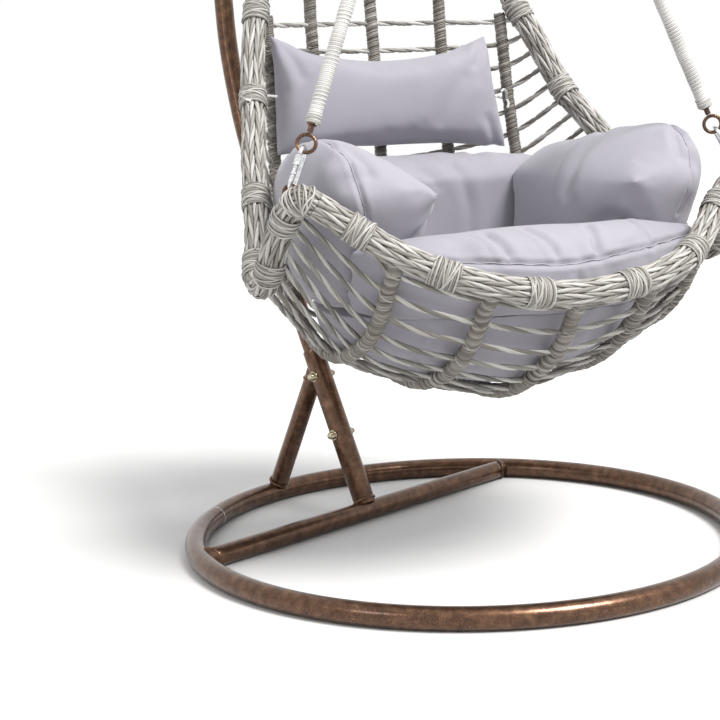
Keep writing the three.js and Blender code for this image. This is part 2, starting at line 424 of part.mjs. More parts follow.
add(basket, 'back_cushion', geo(clip(env, -260, 260, 240 + G, 600, SEAT_Z + G, 694)), CLOTH);
{
  const pts = [];
  for (const [x, y0, y1] of [[-270, 303, 322], [-240, 294, 342], [-150, 292, 388], [-60, 298, 408], [60, 298, 408], [130, 298, 388], [190, 300, 362], [224, 312, 336]]) {
    for (const [z, f] of [[697.5, 0.25], [730, 0.85], [812, 1], [885, 0.85], [924, 0.2]]) {
      const m = (y0 + y1) / 2, h = (y1 - y0) / 2 * f;
      if (z > 900 && x > 195) continue;
      pts.push(V(x, m - h, z), V(x, m + h, z));
    }
  }
  add(basket, 'head_pillow', new ConvexGeometry(pts), CLOTH);
}

export default root;
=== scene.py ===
# Hanging egg chair: the looks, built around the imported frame. Metres, +Z up, front of the stand towards -Y.
# The chair is worked out in millimetres in three frames: the stand, the hook axis and the turned basket.
import math
import bpy
import numpy as np
from mathutils import Vector, Matrix
from mathutils.bvhtree import BVHTree


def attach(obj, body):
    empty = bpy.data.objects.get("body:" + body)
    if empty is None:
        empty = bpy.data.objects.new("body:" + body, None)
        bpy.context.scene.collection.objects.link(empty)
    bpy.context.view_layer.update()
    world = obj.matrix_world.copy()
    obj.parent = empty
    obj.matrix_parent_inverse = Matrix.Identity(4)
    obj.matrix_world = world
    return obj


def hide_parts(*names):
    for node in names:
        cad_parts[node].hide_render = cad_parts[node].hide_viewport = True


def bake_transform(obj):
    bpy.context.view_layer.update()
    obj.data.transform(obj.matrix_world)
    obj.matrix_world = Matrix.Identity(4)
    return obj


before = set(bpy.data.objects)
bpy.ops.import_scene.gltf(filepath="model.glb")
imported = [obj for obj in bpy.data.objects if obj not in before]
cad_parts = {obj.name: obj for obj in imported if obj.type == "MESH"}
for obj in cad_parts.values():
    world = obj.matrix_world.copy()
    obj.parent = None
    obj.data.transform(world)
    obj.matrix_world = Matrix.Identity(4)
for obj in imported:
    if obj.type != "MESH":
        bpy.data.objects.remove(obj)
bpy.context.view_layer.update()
rng = np.random.default_rng(7)
PI = math.pi

# ---------------- camera, floor and light ----------------
cam = bpy.data.cameras.new("camera")
cam.lens, cam.sensor_width, cam.clip_start, cam.clip_end = 82.73, 36.0, 0.05, 100.0
cam_ob = bpy.data.objects.new("camera", cam)
bpy.context.scene.collection.objects.link(cam_ob)
fw, rt, up = Vector((0.7191, 0.6734, -0.1712)), Vector((0.6797, -0.733, -0.0282)), Vector((0.1445, 0.0961, 0.9848))
rot = Matrix((rt, up, -fw)).transposed().to_4x4()
cam_ob.matrix_world = Matrix.Translation((-2.3202, -1.9661, 0.8710)) @ rot
bpy.context.scene.camera = cam_ob


def area(name, loc, target, size, power, colour=(1, 1, 1)):
    d = bpy.data.lights.new(name, "AREA")
    d.shape, d.size, d.energy, d.color = "DISK", size, power, colour
    o = bpy.data.objects.new(name, d)
    o.location = loc
    o.rotation_mode = "QUATERNION"
    o.rotation_quaternion = (Vector(target) - Vector(loc)).to_track_quat("-Z", "Y")
    bpy.context.scene.collection.objects.link(o)
    return o


sun = bpy.data.lights.new("key", "SUN")
sun.energy, sun.angle, sun.color = 4.5, math.radians(24), (1.0, 0.99, 0.975)
sun_ob = bpy.data.objects.new("key", sun)
sun_ob.rotation_mode = "QUATERNION"
sun_ob.rotation_quaternion = Vector((-0.08, 0.7, -1.0)).to_track_quat("-Z", "Y")
bpy.context.scene.collection.objects.link(sun_ob)
area("side", (-3.4, -0.2, 2.0), (0, 0, 0.7), 0.9, 14)
world = bpy.data.worlds.new("studio")
world.use_nodes = True
world.node_tree.nodes["Background"].inputs["Color"].default_value = (1, 1, 1, 1)
world.node_tree.nodes["Background"].inputs["Strength"].default_value = 1.0
bpy.context.scene.world = world
bpy.context.scene.view_settings.view_transform = "Standard"
bpy.context.scene.view_settings.look = "None"


# ---------------- materials ----------------
class Nodes:
    def __init__(self, name):
        self.m = bpy.data.materials.new(name)
        self.m.use_nodes = True
        self.t = self.m.node_tree
        self.t.nodes.clear()
        self.out = self.t.nodes.new("ShaderNodeOutputMaterial")
        self.bsdf = self.t.nodes.new("ShaderNodeBsdfPrincipled")
        self.t.links.new(self.bsdf.outputs[0], self.out.inputs["Surface"])
        self.coord = None

    def link(self, a, b):
        self.t.links.new(a, b)

    def n(self, kind, **kw):
        x = self.t.nodes.new("ShaderNode" + kind)
        for k, v in kw.items():
            setattr(x, k, v)
        return x

    def obj(self):
        if self.coord is None:
            self.coord = self.n("TexCoord").outputs["Object"]
        return self.coord

    def scaled(self, vec, s):
        x = self.n("VectorMath", operation="MULTIPLY")
        self.link(vec, x.inputs[0])
        x.inputs[1].default_value = s
        return x.outputs[0]

    def noise(self, vec, scale, detail=3.0, rough=0.55):
        x = self.n("TexNoise")
        self.link(vec, x.inputs["Vector"])
        x.inputs["Scale"].default_value, x.inputs["Detail"].default_value, x.inputs["Roughness"].default_value = scale, detail, rough
        return x.outputs["Fac"]

    def ramp(self, fac, stops):
        x = self.n("ValToRGB")
        e = x.color_ramp.elements
        while len(e) < len(stops):
            e.new(0.5)
        for el, (p, c) in zip(e, stops):
            el.position, el.color = p, (*c, 1)
        self.link(fac, x.inputs["Fac"])
        return x.outputs["Color"]

    def math(self, op, a, b=None, clamp=False):
        x = self.n("Math", operation=op, use_clamp=clamp)
        for i, v in enumerate([a, b]):
            if v is None:
                continue
            if isinstance(v, (int, float)):
                x.inputs[i].default_value = v
            else:
                self.link(v, x.inputs[i])
        return x.outputs[0]

    def range(self, v, a, b, c, d):
        x = self.n("MapRange")
        self.link(v, x.inputs["Value"])
        for k, q in zip(("From Min", "From Max", "To Min", "To Max"), (a, b, c, d)):
            x.inputs[k].default_value = q
        return x.outputs["Result"]

    def bump(self, height, strength, distance, after=None):
        x = self.n("Bump")
        x.inputs["Strength"].default_value, x.inputs["Distance"].default_value = strength, distance
        self.link(height, x.inputs["Height"])
        if after is not None:
            self.link(after, x.inputs["Normal"])
        return x.outputs["Normal"]

    def attr(self, name, kind="Fac"):
        x = self.n("Attribute")
        x.attribute_name = name
        return x.outputs[kind]

    def set(self, **kw):
        for k, v in kw.items():
            self.bsdf.inputs[k.replace("_", " ")].default_value = v
        return self


def wicker(name, stops, rough=(0.36, 0.56), streak=0.5, fibre=0.35):
    s = Nodes(name)
    tone = s.attr("tone")
    cx = s.n("CombineXYZ")
    s.link(s.math("MULTIPLY", tone, 61.0), cx.inputs[0])
    base = s.attr("strand", "Vector")
    a = s.n("VectorMath", operation="ADD")
    s.link(s.scaled(base, (26, 1.7, 1.7)), a.inputs[0])
    s.link(cx.outputs[0], a.inputs[1])
    b = s.n("VectorMath", operation="ADD")
    s.link(s.scaled(base, (42, 9, 9)), b.inputs[0])
    s.link(cx.outputs[0], b.inputs[1])
    broad, fine = s.noise(a.outputs[0], 1.0, 3, 0.6), s.noise(b.outputs[0], 1.0, 4, 0.65)
    f = s.math("ADD", tone, s.math("MULTIPLY", s.math("SUBTRACT", broad, 0.5), streak))
    f = s.math("ADD", f, s.math("MULTIPLY", s.math("SUBTRACT", fine, 0.5), fibre), clamp=True)
    s.link(s.ramp(f, stops), s.bsdf.inputs["Base Color"])
    s.link(s.range(fine, 0.3, 0.7, *rough), s.bsdf.inputs["Roughness"])
    s.link(s.bump(fine, 0.45, 0.0006), s.bsdf.inputs["Normal"])
    s.set(Specular_IOR_Level=0.42)
    return s.m


GREY = [(0.0, (0.022, 0.019, 0.016)), (0.3, (0.085, 0.076, 0.066)), (0.6, (0.225, 0.210, 0.188)), (0.85, (0.345, 0.330, 0.305)), (1.0, (0.48, 0.468, 0.445))]
BRAID = wicker("wicker_braid", GREY)
WRAP = wicker("wicker_wrap", [(0.0, (0.018, 0.015, 0.013)), (0.3, (0.068, 0.058, 0.049)), (0.6, (0.165, 0.148, 0.128)), (0.85, (0.255, 0.236, 0.210)), (1.0, (0.40, 0.385, 0.36))])


# Lighter copy of the wrap strand for the rods at the top: painted light, the rods carry the same strand as the ribs.
ROD_WRAP_PAINTED_LIGHT = wicker("wicker_wrap_light", [(0.0, (0.10, 0.095, 0.085)), (0.4, (0.27, 0.26, 0.24)), (0.8, (0.42, 0.41, 0.39)), (1.0, (0.56, 0.55, 0.53))])


def bronze():
    s = Nodes("bronze_paint")
    o = s.obj()
    speck = s.noise(o, 900, 2, 0.5)
    cloud = s.noise(o, 60, 3, 0.5)
    f = s.math("ADD", s.math("MULTIPLY", speck, 0.72), s.math("MULTIPLY", cloud, 0.28))
    s.link(s.ramp(f, [(0.36, (0.022, 0.010, 0.0055)), (0.48, (0.075, 0.034, 0.017)), (0.60, (0.175, 0.088, 0.046)), (0.72, (0.48, 0.29, 0.18))]), s.bsdf.inputs["Base Color"])
    s.link(s.range(speck, 0.3, 0.7, 0.38, 0.24), s.bsdf.inputs["Roughness"])
    s.link(s.bump(s.noise(o, 420, 2, 0.5), 0.16, 0.0006), s.bsdf.inputs["Normal"])
    s.set(Metallic=0.82, Coat_Weight=0.4, Coat_Roughness=0.16)
    return s.m


def metal(name, light, dark, rough, scale=220, metallic=1.0):
    s = Nodes(name)
    o = s.obj()
    f = s.noise(o, scale, 4, 0.6)
    s.link(s.ramp(f, [(0.3, dark), (0.65, light)]), s.bsdf.inputs["Base Color"])
    s.link(s.range(s.noise(o, scale * 2.2, 3, 0.6), 0.3, 0.7, rough * 0.75, rough * 1.35), s.bsdf.inputs["Roughness"])
    s.link(s.bump(f, 0.06, 0.0004), s.bsdf.inputs["Normal"])
    s.set(Metallic=metallic)
    return s.m


def plastic():
    s = Nodes("black_plastic")
    o = s.obj()
    g = s.noise(o, 1600, 2, 0.5)
    s.link(s.ramp(s.noise(o, 90, 3, 0.5), [(0.3, (0.012, 0.011, 0.010)), (0.7, (0.028, 0.026, 0.024))]), s.bsdf.inputs["Base Color"])
    s.link(s.range(g, 0.3, 0.7, 0.42, 0.58), s.bsdf.inputs["Roughness"])
    s.link(s.bump(g, 0.2, 0.0002), s.bsdf.inputs["Normal"])
    return s.m


def fabric(name, light, dark, thread=1.0):
    s = Nodes(name)
    o = s.obj()
    warp = s.noise(s.scaled(o, (260, 2100, 2100)), 1.0, 2, 0.6)
    weft = s.noise(s.scaled(o, (2100, 2100, 260)), 1.0, 2, 0.6)
    weave = s.math("ADD", warp, weft)
    cloud = s.noise(o, 7, 4, 0.55)
    f = s.math("ADD", s.math("MULTIPLY", weave, 0.34 * thread), s.math("MULTIPLY", cloud, 0.36), clamp=True)
    s.link(s.ramp(f, [(0.30, dark), (0.72, light)]), s.bsdf.inputs["Base Color"])
    s.link(s.range(weave, 0.7, 1.3, 0.72, 0.9), s.bsdf.inputs["Roughness"])
    crepe = s.bump(s.noise(o, 26, 3, 0.5), 0.10, 0.006)
    s.link(s.bump(weave, 0.35, 0.0004, crepe), s.bsdf.inputs["Normal"])
    s.set(Sheen_Weight=0.25, Sheen_Roughness=0.45, Specular_IOR_Level=0.35)
    return s.m


BRONZE = bronze()
ZINC = metal("zinc_steel", (0.80, 0.81, 0.82), (0.56, 0.57, 0.58), 0.22)
BOLT = metal("plated_bolt", (0.56, 0.52, 0.38), (0.34, 0.30, 0.20), 0.26)
BLACK = plastic()
CLOTH = fabric("cushion_fabric", (0.315, 0.306, 0.345), (0.255, 0.247, 0.284))
THREAD = fabric("seam_thread", (0.36, 0.35, 0.39), (0.30, 0.29, 0.33))
SLOTS = {"bronze_paint": BRONZE, "plated_bolt": BOLT, "zinc_steel": ZINC, "black_plastic": BLACK, "cushion_fabric": CLOTH, "wicker_wrap": WRAP, "wicker_braid": BRAID}

floor_s = Nodes("floor")
floor_s.link(floor_s.ramp(floor_s.noise(floor_s.obj(), 3.0, 3, 0.5), [(0.3, (0.585, 0.585, 0.585)), (0.7, (0.60, 0.60, 0.60))]), floor_s.bsdf.inputs["Base Color"])
floor_s.set(Roughness=0.75, Specular_IOR_Level=0.2)
fm = bpy.data.meshes.new("floor")
fm.from_pydata([(-9, -9, 0), (9, -9, 0), (9, 9, 0), (-9, 9, 0)], [], [(0, 1, 2, 3)])
fm.materials.append(floor_s.m)
floor = bpy.data.objects.new("floor", fm)
floor.location.z = -0.0006
bpy.context.scene.collection.objects.link(floor)

# ---------------- frames and curves ----------------
TURN = math.radians(-21.5)
CT, ST = math.cos(TURN), math.sin(TURN)


def to_row(P, where):
    P = np.asarray(P, float).reshape(-1, 3) / 1000.0
    if where == "basket":
        P = np.stack([CT * P[:, 0] - ST * P[:, 1], ST * P[:, 0] + CT * P[:, 1], P[:, 2]], -1)
    if where in ("basket", "hang"):
        P = P + np.array([0, -0.063, 0])
    return P + np.array([0, -0.0535, 0.0188])


def unit(v):
    v = np.asarray(v, float)
    return v / np.maximum(np.linalg.norm(v, axis=-1, keepdims=True), 1e-12)


def catmull(P, closed=False, n=24):
    P = np.asarray(P, float)
    m = len(P)
    if not closed:
        Q = np.vstack([2 * P[0] - P[1], P, 2 * P[-1] - P[-2]])
        segs = [(Q[i], Q[i + 1], Q[i + 2], Q[i + 3]) for i in range(m - 1)]
    else:
        segs = [(P[i - 1], P[i], P[(i + 1) % m], P[(i + 2) % m]) for i in range(m)]
    t = (np.arange(n) / n)[:, None]
    out = [0.5 * ((2 * b) + (c - a) * t + (2 * a - 5 * b + 4 * c - d) * t * t + (3 * b - a - 3 * c + d) * t ** 3) for a, b, c, d in segs]
    out = np.vstack(out + ([P[-1:]] if not closed else [P[:1]]))
    return out


class Curve:
    """A dense line with arc length, and directions carried along it: T along, N towards ref, B across."""

    def __init__(self, P, ref=None, closed=False, spread=0):
        self.P = np.asarray(P, float)
        self.s = np.r_[0, np.cumsum(np.linalg.norm(np.diff(self.P, axis=0), axis=1))]
        self.L = self.s[-1]
        T = unit(np.gradient(self.P, self.s, axis=0))
        if closed:
            e = unit(self.P[1] - self.P[-2])
            T[0] = T[-1] = e
        if ref is not None:
            r = self.P - np.asarray(ref, float)
            N = unit(r - (r * T).sum(1)[:, None] * T)
        else:
            N = np.zeros_like(T)
            a = np.array([1.0, 0, 0]) if abs(T[0][0]) < 0.8 else np.array([0, 1.0, 0])
            v = unit(a - a.dot(T[0]) * T[0])
            for i in range(len(T)):
                v = v - v.dot(T[i]) * T[i]
                v = v / np.linalg.norm(v)
                N[i] = v
        self.T, self.N = T, N
        self.B = np.cross(T, N)

    def at(self, s):
        s = np.asarray(s, float)
        f = lambda A: np.stack([np.interp(s, self.s, A[:, k]) for k in range(3)], -1)
        return f(self.P), unit(f(self.N)), unit(f(self.B))

    def nearest(self, p):
        return float(self.s[np.argmin(np.linalg.norm(self.P - np.asarray(p, float), axis=1))])


class Acc:
    """Collects quads of many tubes for one mesh, with a tone per strand and the place along it."""

    def __init__(self):
        self.V, self.F, self.tone, self.strand, self.n = [], [], [], [], 0

    def raw(self, V, F, tone=0.6, strand=None):
        V = np.asarray(V, float).reshape(-1, 3)
        F = np.asarray(F, int)
        if F.shape[1] == 3:
            F = np.hstack([F, -np.ones((len(F), 1), int) - self.n])
        self.V.append(V)
        self.F.append(F + self.n)
        self.tone.append(np.full(len(V), float(tone)))
        self.strand.append(np.zeros((len(V), 3)) if strand is None else strand)
        self.n += len(V)

    def tube(self, P, N, a, b, m=6, tone=0.6, taper=True, closed=False, s0=0.0):
        """Section a along N and b across, on the line P. a and b may vary along the line."""
        P = np.asarray(P, float)
        n = len(P)
        T = unit(np.gradient(P, axis=0))
        if closed:
            T = unit(np.roll(P, -1, 0) - np.roll(P, 1, 0))
        N = unit(N - (N * T).sum(1)[:, None] * T)
        B = np.cross(T, N)
        a = np.broadcast_to(np.asarray(a, float), (n,)).copy()
        b = np.broadcast_to(np.asarray(b, float), (n,)).copy()
        ang = 2 * PI * np.arange(m) / m
        ca, sa = np.cos(ang), np.sin(ang)
        V = P[:, None] + (a[:, None] * ca)[..., None] * N[:, None] + (b[:, None] * sa)[..., None] * B[:, None]
        i, j = np.meshgrid(np.arange(n if closed else n - 1), np.arange(m), indexing="ij")
        i2, j2 = (i + 1) % n, (j + 1) % m
        F = np.stack([i * m + j, i * m + j2, i2 * m + j2, i2 * m + j], -1).reshape(-1, 4)
        caps = []
        if not closed:
            for k in range((m - 2) // 2):
                caps.append([k, m - 1 - k, m - 2 - k, k + 1])
                e = (n - 1) * m
                caps.append([e + k, e + k + 1, e + m - 2 - k, e + m - 1 - k])
            F = np.vstack([F, np.array(caps, int)])
        s = np.r_[0, np.cumsum(np.linalg.norm(np.diff(P, axis=0), axis=1))] / 1000.0 + s0
        S = np.stack(np.broadcast_arrays(s[:, None], ca[None], sa[None]), -1).reshape(-1, 3)
        self.raw(V.reshape(-1, 3), F, 0.0, S)
        self.tone[-1] = np.repeat(np.broadcast_to(np.asarray(tone, float), (n,)), m)

    def lathe(self, a, b, profile, m=24, tone=0.6):
        """Profile [radius, distance] turned about the line a to b."""
        a, b = np.asarray(a, float), np.asarray(b, float)
        t = unit(b - a)
        v = np.array([1.0, 0, 0]) if abs(t[0]) < 0.8 else np.array([0, 1.0, 0])
        n1 = unit(v - v.dot(t) * t)
        n2 = np.cross(t, n1)
        P = a + np.asarray(profile, float)[:, 1:2] * t
        r = np.asarray(profile, float)[:, 0]
        ang = 2 * PI * np.arange(m) / m
        V = P[:, None] + r[:, None, None] * (np.cos(ang)[None, :, None] * n1 + np.sin(ang)[None, :, None] * n2)
        n = len(r)
        i, j = np.meshgrid(np.arange(n - 1), np.arange(m), indexing="ij")
        j2 = (j + 1) % m
        F = np.stack([i * m + j, i * m + j2, (i + 1) * m + j2, (i + 1) * m + j], -1).reshape(-1, 4)
        self.raw(V.reshape(-1, 3), F, tone)

    def torus(self, c, normal, R, r, seg=48, m=12, tone=0.6):
        c, t = np.asarray(c, float), unit(normal)
        v = np.array([1.0, 0, 0]) if abs(t[0]) < 0.8 else np.array([0, 1.0, 0])
        n1 = unit(v - v.dot(t) * t)
        n2 = np.cross(t, n1)
        a = (2 * PI * np.arange(seg) / seg)[:, None]
        d = np.cos(a) * n1 + np.sin(a) * n2
        self.tube(c + R * d, d, r, r, m, tone, closed=True)


def piece(name, acc, where, material, body, nodes=(), slot=None, smooth=True, sharp=None):
    V = to_row(np.vstack(acc.V), where)
    V[:, 2] = np.maximum(V[:, 2], 0.0)  # weld beads and joint bands stop at the floor
    F = np.vstack(acc.F)
    me = bpy.data.meshes.new(name)
    if (F < 0).any():
        me.from_pydata(V.tolist(), [], [[int(i) for i in f if i >= 0] for f in F])
    else:
        me.vertices.add(len(V))
        me.vertices.foreach_set("co", V.astype(np.float32).ravel())
        me.loops.add(F.size)
        me.loops.foreach_set("vertex_index", F.astype(np.int32).ravel())
        me.polygons.add(len(F))
        me.polygons.foreach_set("loop_start", (np.arange(len(F)) * 4).astype(np.int32))
        me.update(calc_edges=True)
        me.validate()
    if len(me.vertices) == len(V):
        me.attributes.new("tone", "FLOAT", "POINT").data.foreach_set("value", np.concatenate(acc.tone).astype(np.float32))
        me.attributes.new("strand", "FLOAT_VECTOR", "POINT").data.foreach_set("vector", np.vstack(acc.strand).astype(np.float32).ravel())
    me.polygons.foreach_set("use_smooth", [smooth] * len(me.polygons))
    if sharp:
        me.set_sharp_from_angle(angle=math.radians(sharp))
    me.materials.append(material)
    o = bpy.data.objects.new(name, me)
    bpy.context.scene.collection.objects.link(o)
    if body:
        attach(o, body)
    if nodes:
        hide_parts(*([nodes] if isinstance(nodes, str) else nodes))
    slot or {v: k for k, v in SLOTS.items()}.get(material, "cushion_fabric")
    return o


# every CAD node that stays visible gets the finish of its slot
for nm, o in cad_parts.items():
    for s in o.material_slots:
        key = s.material.name.split(".")[0] if s.material else ""
        s.material = SLOTS.get(key, BRONZE)

# ---------------- stand ----------------
RING_R, BAR_Y = 505.0, 251.0
acc = Acc()
a = 2 * PI * np.arange(180) / 180
sec = 2 * PI * np.arange(28) / 28
rr, zz = RING_R + 20 * np.cos(sec), np.maximum(20 * np.sin(sec), -18.8)
V = np.stack([rr[None] * np.cos(a)[:, None], rr[None] * np.sin(a)[:, None], np.broadcast_to(zz, (180, 28))], -1).reshape(-1, 3)
i, j = np.meshgrid(np.arange(180), np.arange(28), indexing="ij")
F = np.stack([i * 28 + j, ((i + 1) % 180) * 28 + j, ((i + 1) % 180) * 28 + (j + 1) % 28, i * 28 + (j + 1) % 28], -1).reshape(-1, 4)
acc.raw(V, F)
piece("base_ring_tube", acc, "stand", BRONZE, "stand", "base_ring", "bronze_paint")
acc = Acc()
acc.torus((RING_R * math.cos(2.02), RING_R * math.sin(2.02), 0), (-math.sin(2.02), math.cos(2.02), 0), 19.6, 0.9, 40, 8)
acc.torus((RING_R * math.cos(-1.12), RING_R * math.sin(-1.12), 0), (-math.sin(-1.12), math.cos(-1.12), 0), 19.6, 0.9, 40, 8)
piece("base_ring_joints", acc, "stand", ZINC, "stand", (), "zinc_steel")


def line(a, b, n):
    return np.asarray(a, float) + (np.asarray(b, float) - np.asarray(a, float)) * np.linspace(0, 1, n)[:, None]


def bar(acc, P, r, m=28, tone=0.6):
    c = Curve(P)
    acc.tube(c.P, c.N, r, r, m, tone)


def bead(acc, centre, axis, R, r=2.6):
    acc.torus(centre, axis, R, r, 40, 8)


barh = math.sqrt(RING_R ** 2 - BAR_Y ** 2) - 13
acc = Acc()
bar(acc, line((-barh, BAR_Y, 0), (barh, BAR_Y, 0), 30), 18.7)
bead(acc, (-barh + 6, BAR_Y, 0), (1, 0.5, 0), 19.2)
bead(acc, (barh - 6, BAR_Y, 0), (1, -0.5, 0), 19.2)
piece("cross_bar_tube", acc, "stand", BRONZE, "stand", "cross_bar", "bronze_paint")

SL0, SL1 = np.array([0, 252.5, 0.0]), np.array([0, 388.4, 308.0])
sld = unit(SL1 - SL0)
acc = Acc()
acc.lathe(SL0, SL1, [[20.4, 12], [21.5, 14], [21.5, 331], [21.5, 334.6], [21.1, 336], [20.3, 336.4], [19.4, 336.2], [19.3, 320]], 36)
bead(acc, SL0 + sld * 19, (0, 0.55, 0.84), 21.6, 3.0)
piece("post_sleeve_tube", acc, "stand", BRONZE, "stand", "post_sleeve", "bronze_paint", sharp=50)
BR0, BR1 = np.array([0, 508, 2.0]), np.array([0, 375.7, 279.4])
brd = unit(BR1 - BR0)
acc = Acc()
bar(acc, line(BR0 + brd * 10, BR1 - brd * 6, 16), 18.3)
bead(acc, BR0 + brd * 21, brd, 19.2, 2.8)
bead(acc, BR1 - brd * 33, brd + np.array([0, 0.25, 0]), 18.9, 2.4)
piece("rear_brace_tube", acc, "stand", BRONZE, "stand", "rear_brace", "bronze_paint")

POST = [[303, 115], [345, 210], [388.8, 309], [431, 406], [490, 548], [551, 712], [580, 812], [600, 912], [609, 1004], [613, 1100], [609, 1205], [596, 1320],
        [568, 1450], [519, 1580], [446, 1700], [352, 1806], [243, 1885], [125, 1926], [20, 1929], [-60, 1917], [-118, 1900]]
post = Curve(catmull([[0, p[0], p[1]] for p in POST]))
JU = 0.545 * post.L
acc = Acc()
bar(acc, post.at(np.linspace(0.008 * post.L, JU, 90))[0], 18.8)
piece("upper_post_tube", acc, "stand", BRONZE, "stand", "upper_post", "bronze_paint")
acc = Acc()
bar(acc, post.at(np.linspace(JU + 1.2, post.L, 90))[0], 18.8)
piece("arch_tube", acc, "stand", BRONZE, "stand", "arch_section", "bronze_paint")
acc = Acc()
for z in (812.0, 760.0):  # small press marks on the post's left side
    s0 = float(post.s[np.argmin(abs(post.P[:, 2] - z) + (post.P[:, 1] < 300) * 1e4)])
    p = post.at([s0])[0][0]
    acc.lathe(p + np.array([-18.0, 0, 0]), p + np.array([-19.4, 0, 0]), [[4.2, 0], [3.6, 0.7], [0.2, 1.0]], 18)
piece("post_press_marks", acc, "stand", BRONZE, "stand", (), "bronze_paint")
e, t = post.P[-1], post.T[-1]
acc = Acc()
acc.lathe(e - t * 18, e + t * 5, [[0.1, 0], [15.5, 0], [16, 3], [16, 18.8], [18.5, 18.9], [18.7, 20], [18.2, 22.4], [16.4, 24], [12, 24.8], [0.1, 25]], 32)
piece("end_cap_plug", acc, "stand", BLACK, "stand", "end_cap", "black_plastic", sharp=60)
for nme, d in (("lower", 160), ("upper", 283)):
    p = SL0 + sld * d
    acc = Acc()
    acc.lathe(p + [-36, 0, 0], p + [36, 0, 0], [[0.1, 0], [2.2, 0.2], [4.6, 1.1], [6.6, 3.0], [7.7, 5.6], [8.1, 8.4], [8.2, 12.4], [10.2, 12.5], [10.4, 13.0], [10.4, 13.9],
                                              [10.1, 14.2], [4, 14.2], [4, 70.6], [3.4, 71.8], [0.1, 72]], 28)
    for k in range(9):  # thread turns past the nut
        acc.torus(p + [29.6 + 0.68 * k, 0, 0], (1, 0, 0), 4.0, 0.28, 20, 6)
    piece(f"bolt_{nme}_detail", acc, "stand", BOLT, "stand", f"bolt_{nme}", "plated_bolt", sharp=50)
    acc = Acc()
    acc.lathe(p + [22.3, 0, 0], p + [29.5, 0, 0], [[5.1, 0], [7.6, 0], [8.45, 0.9], [8.45, 6.2], [7.5, 7.1], [5.1, 7.2], [5.1, 0]], 6)
    piece(f"nut_{nme}_detail", acc, "stand", BOLT, "stand", f"nut_{nme}", "plated_bolt", sharp=30)


def u_eye(acc, base, up_, across, R, wire, leg, m=12):
    base, up_, across = [np.asarray(v, float) for v in (base, up_, across)]
    mid = base + up_ * leg
    a_ = np.linspace(0, PI, 25)[:, None]
    P = np.vstack([line(base - across * R, mid - across * R, 5)[:-1], mid - across * R * np.cos(a_) + up_ * R * np.sin(a_), line(mid + across * R, base + across * R, 5)[1:]])
    c = Curve(P)
    acc.tube(c.P, c.N, wire, wire, m)


acc = Acc()
u_eye(acc, (0, -63, 1898), (0, 0, -1), (0, 1, 0), 15, 4.5, 1898 - 1865.5 - 15)
bead(acc, (0, -48, 1899.5), (0, 0.1, 1), 5.2, 2.2)
bead(acc, (0, -78, 1895.5), (0, 0.1, 1), 5.2, 2.2)
piece("hook_eye_bar", acc, "stand", BRONZE, "stand", "hook_eye", "bronze_paint")


# ---------------- carabiners, spring and swivel ----------------
def carabiner(prefix, where, c, up_, side, H, W, wire, bodies):
    c, up_, side = [np.asarray(v, float) for v in (c, up_, side)]
    r, h = W / 2, H / 2 - W / 2
    at = lambda u, s: c + up_ * u + side * s
    lo, hi = -h * 0.72, h * 0.86
    P = [at(hi + wire * 0.2, r), at(h, r)]
    P += [at(h + r * math.sin(x), r * math.cos(x)) for x in np.linspace(0, PI, 13)[1:-1]]
    P += [at(h, -r), at(0, -r), at(-h, -r)]
    P += [at(-h - r * math.sin(x), -r * math.cos(x)) for x in np.linspace(0, PI, 13)[1:-1]]
    P += [at(-h, r), at(lo - wire * 0.2, r)]
    cv = Curve(catmull(P, n=5))
    acc = Acc()
    acc.tube(cv.P, cv.N, wire, wire, 14)
    piece(f"{prefix}_frame", acc, where, ZINC, bodies[0], f"{prefix}_body", "zinc_steel")
    g0, g1 = at(lo + 0.8, r), at(hi - 0.8, r)
    w = wire * 0.8
    L = float(np.linalg.norm(g1 - g0))
    acc = Acc()
    acc.lathe(g0, g1, [[0.1, 0], [w * 0.8, 0], [w, 0.7], [w, L - 0.7], [w * 0.8, L], [0.1, L]], 20)
    n = np.cross(up_, side)
    e = 0.2 if prefix == "top_carabiner" else 0.9  # the short gate's sleeve slides over its pin
    acc.lathe(g0 + up_ * 2.6 - n * (w + e), g0 + up_ * 2.6 + n * (w + e), [[0.1, 0], [1.3, 0], [1.5, 0.4], [1.5, 2 * (w + e) - 0.4], [1.3, 2 * (w + e)], [0.1, 2 * (w + e)]], 14)
    piece(f"{prefix}_gate_bar", acc, where, ZINC, bodies[1], f"{prefix}_gate", "zinc_steel", sharp=50)
    s1, s0 = at(hi - 1.2, r), at(hi - 1.2 - H * 0.24, r)
    L = float(np.linalg.norm(s1 - s0))
    R = wire * 1.55
    acc = Acc()
    m = 48
    t_ = unit(s1 - s0)
    prof = [[w + 0.5, 0, 0], [R - 0.8, 0, 0], [R - 0.15, 0.7, 0], [R - 0.15, 1.6, 0], [R, 1.9, 1], [R, L - 1.9, 1], [R - 0.15, L - 1.6, 0], [R - 0.15, L - 0.7, 0], [R - 0.8, L, 0], [w + 0.5, L, 0], [w + 0.5, 0, 0]]
    n1, n2 = side, np.cross(t_, side)
    ang = 2 * PI * np.arange(m) / m
    rows = []
    for q, dz, k in prof:  # knurled middle
        rad = q - k * 0.42 * (np.arange(m) % 2)
        rows.append(s0 + t_ * dz + rad[:, None] * (np.cos(ang)[:, None] * n1 + np.sin(ang)[:, None] * n2))
    i, j = np.meshgrid(np.arange(len(prof) - 1), np.arange(m), indexing="ij")
    j2 = (j + 1) % m
    acc.raw(np.vstack(rows), np.stack([i * m + j, i * m + j2, (i + 1) * m + j2, (i + 1) * m + j], -1).reshape(-1, 4))
    piece(f"{prefix}_screw_sleeve", acc, where, ZINC, bodies[2], f"{prefix}_sleeve", "zinc_steel", sharp=35)


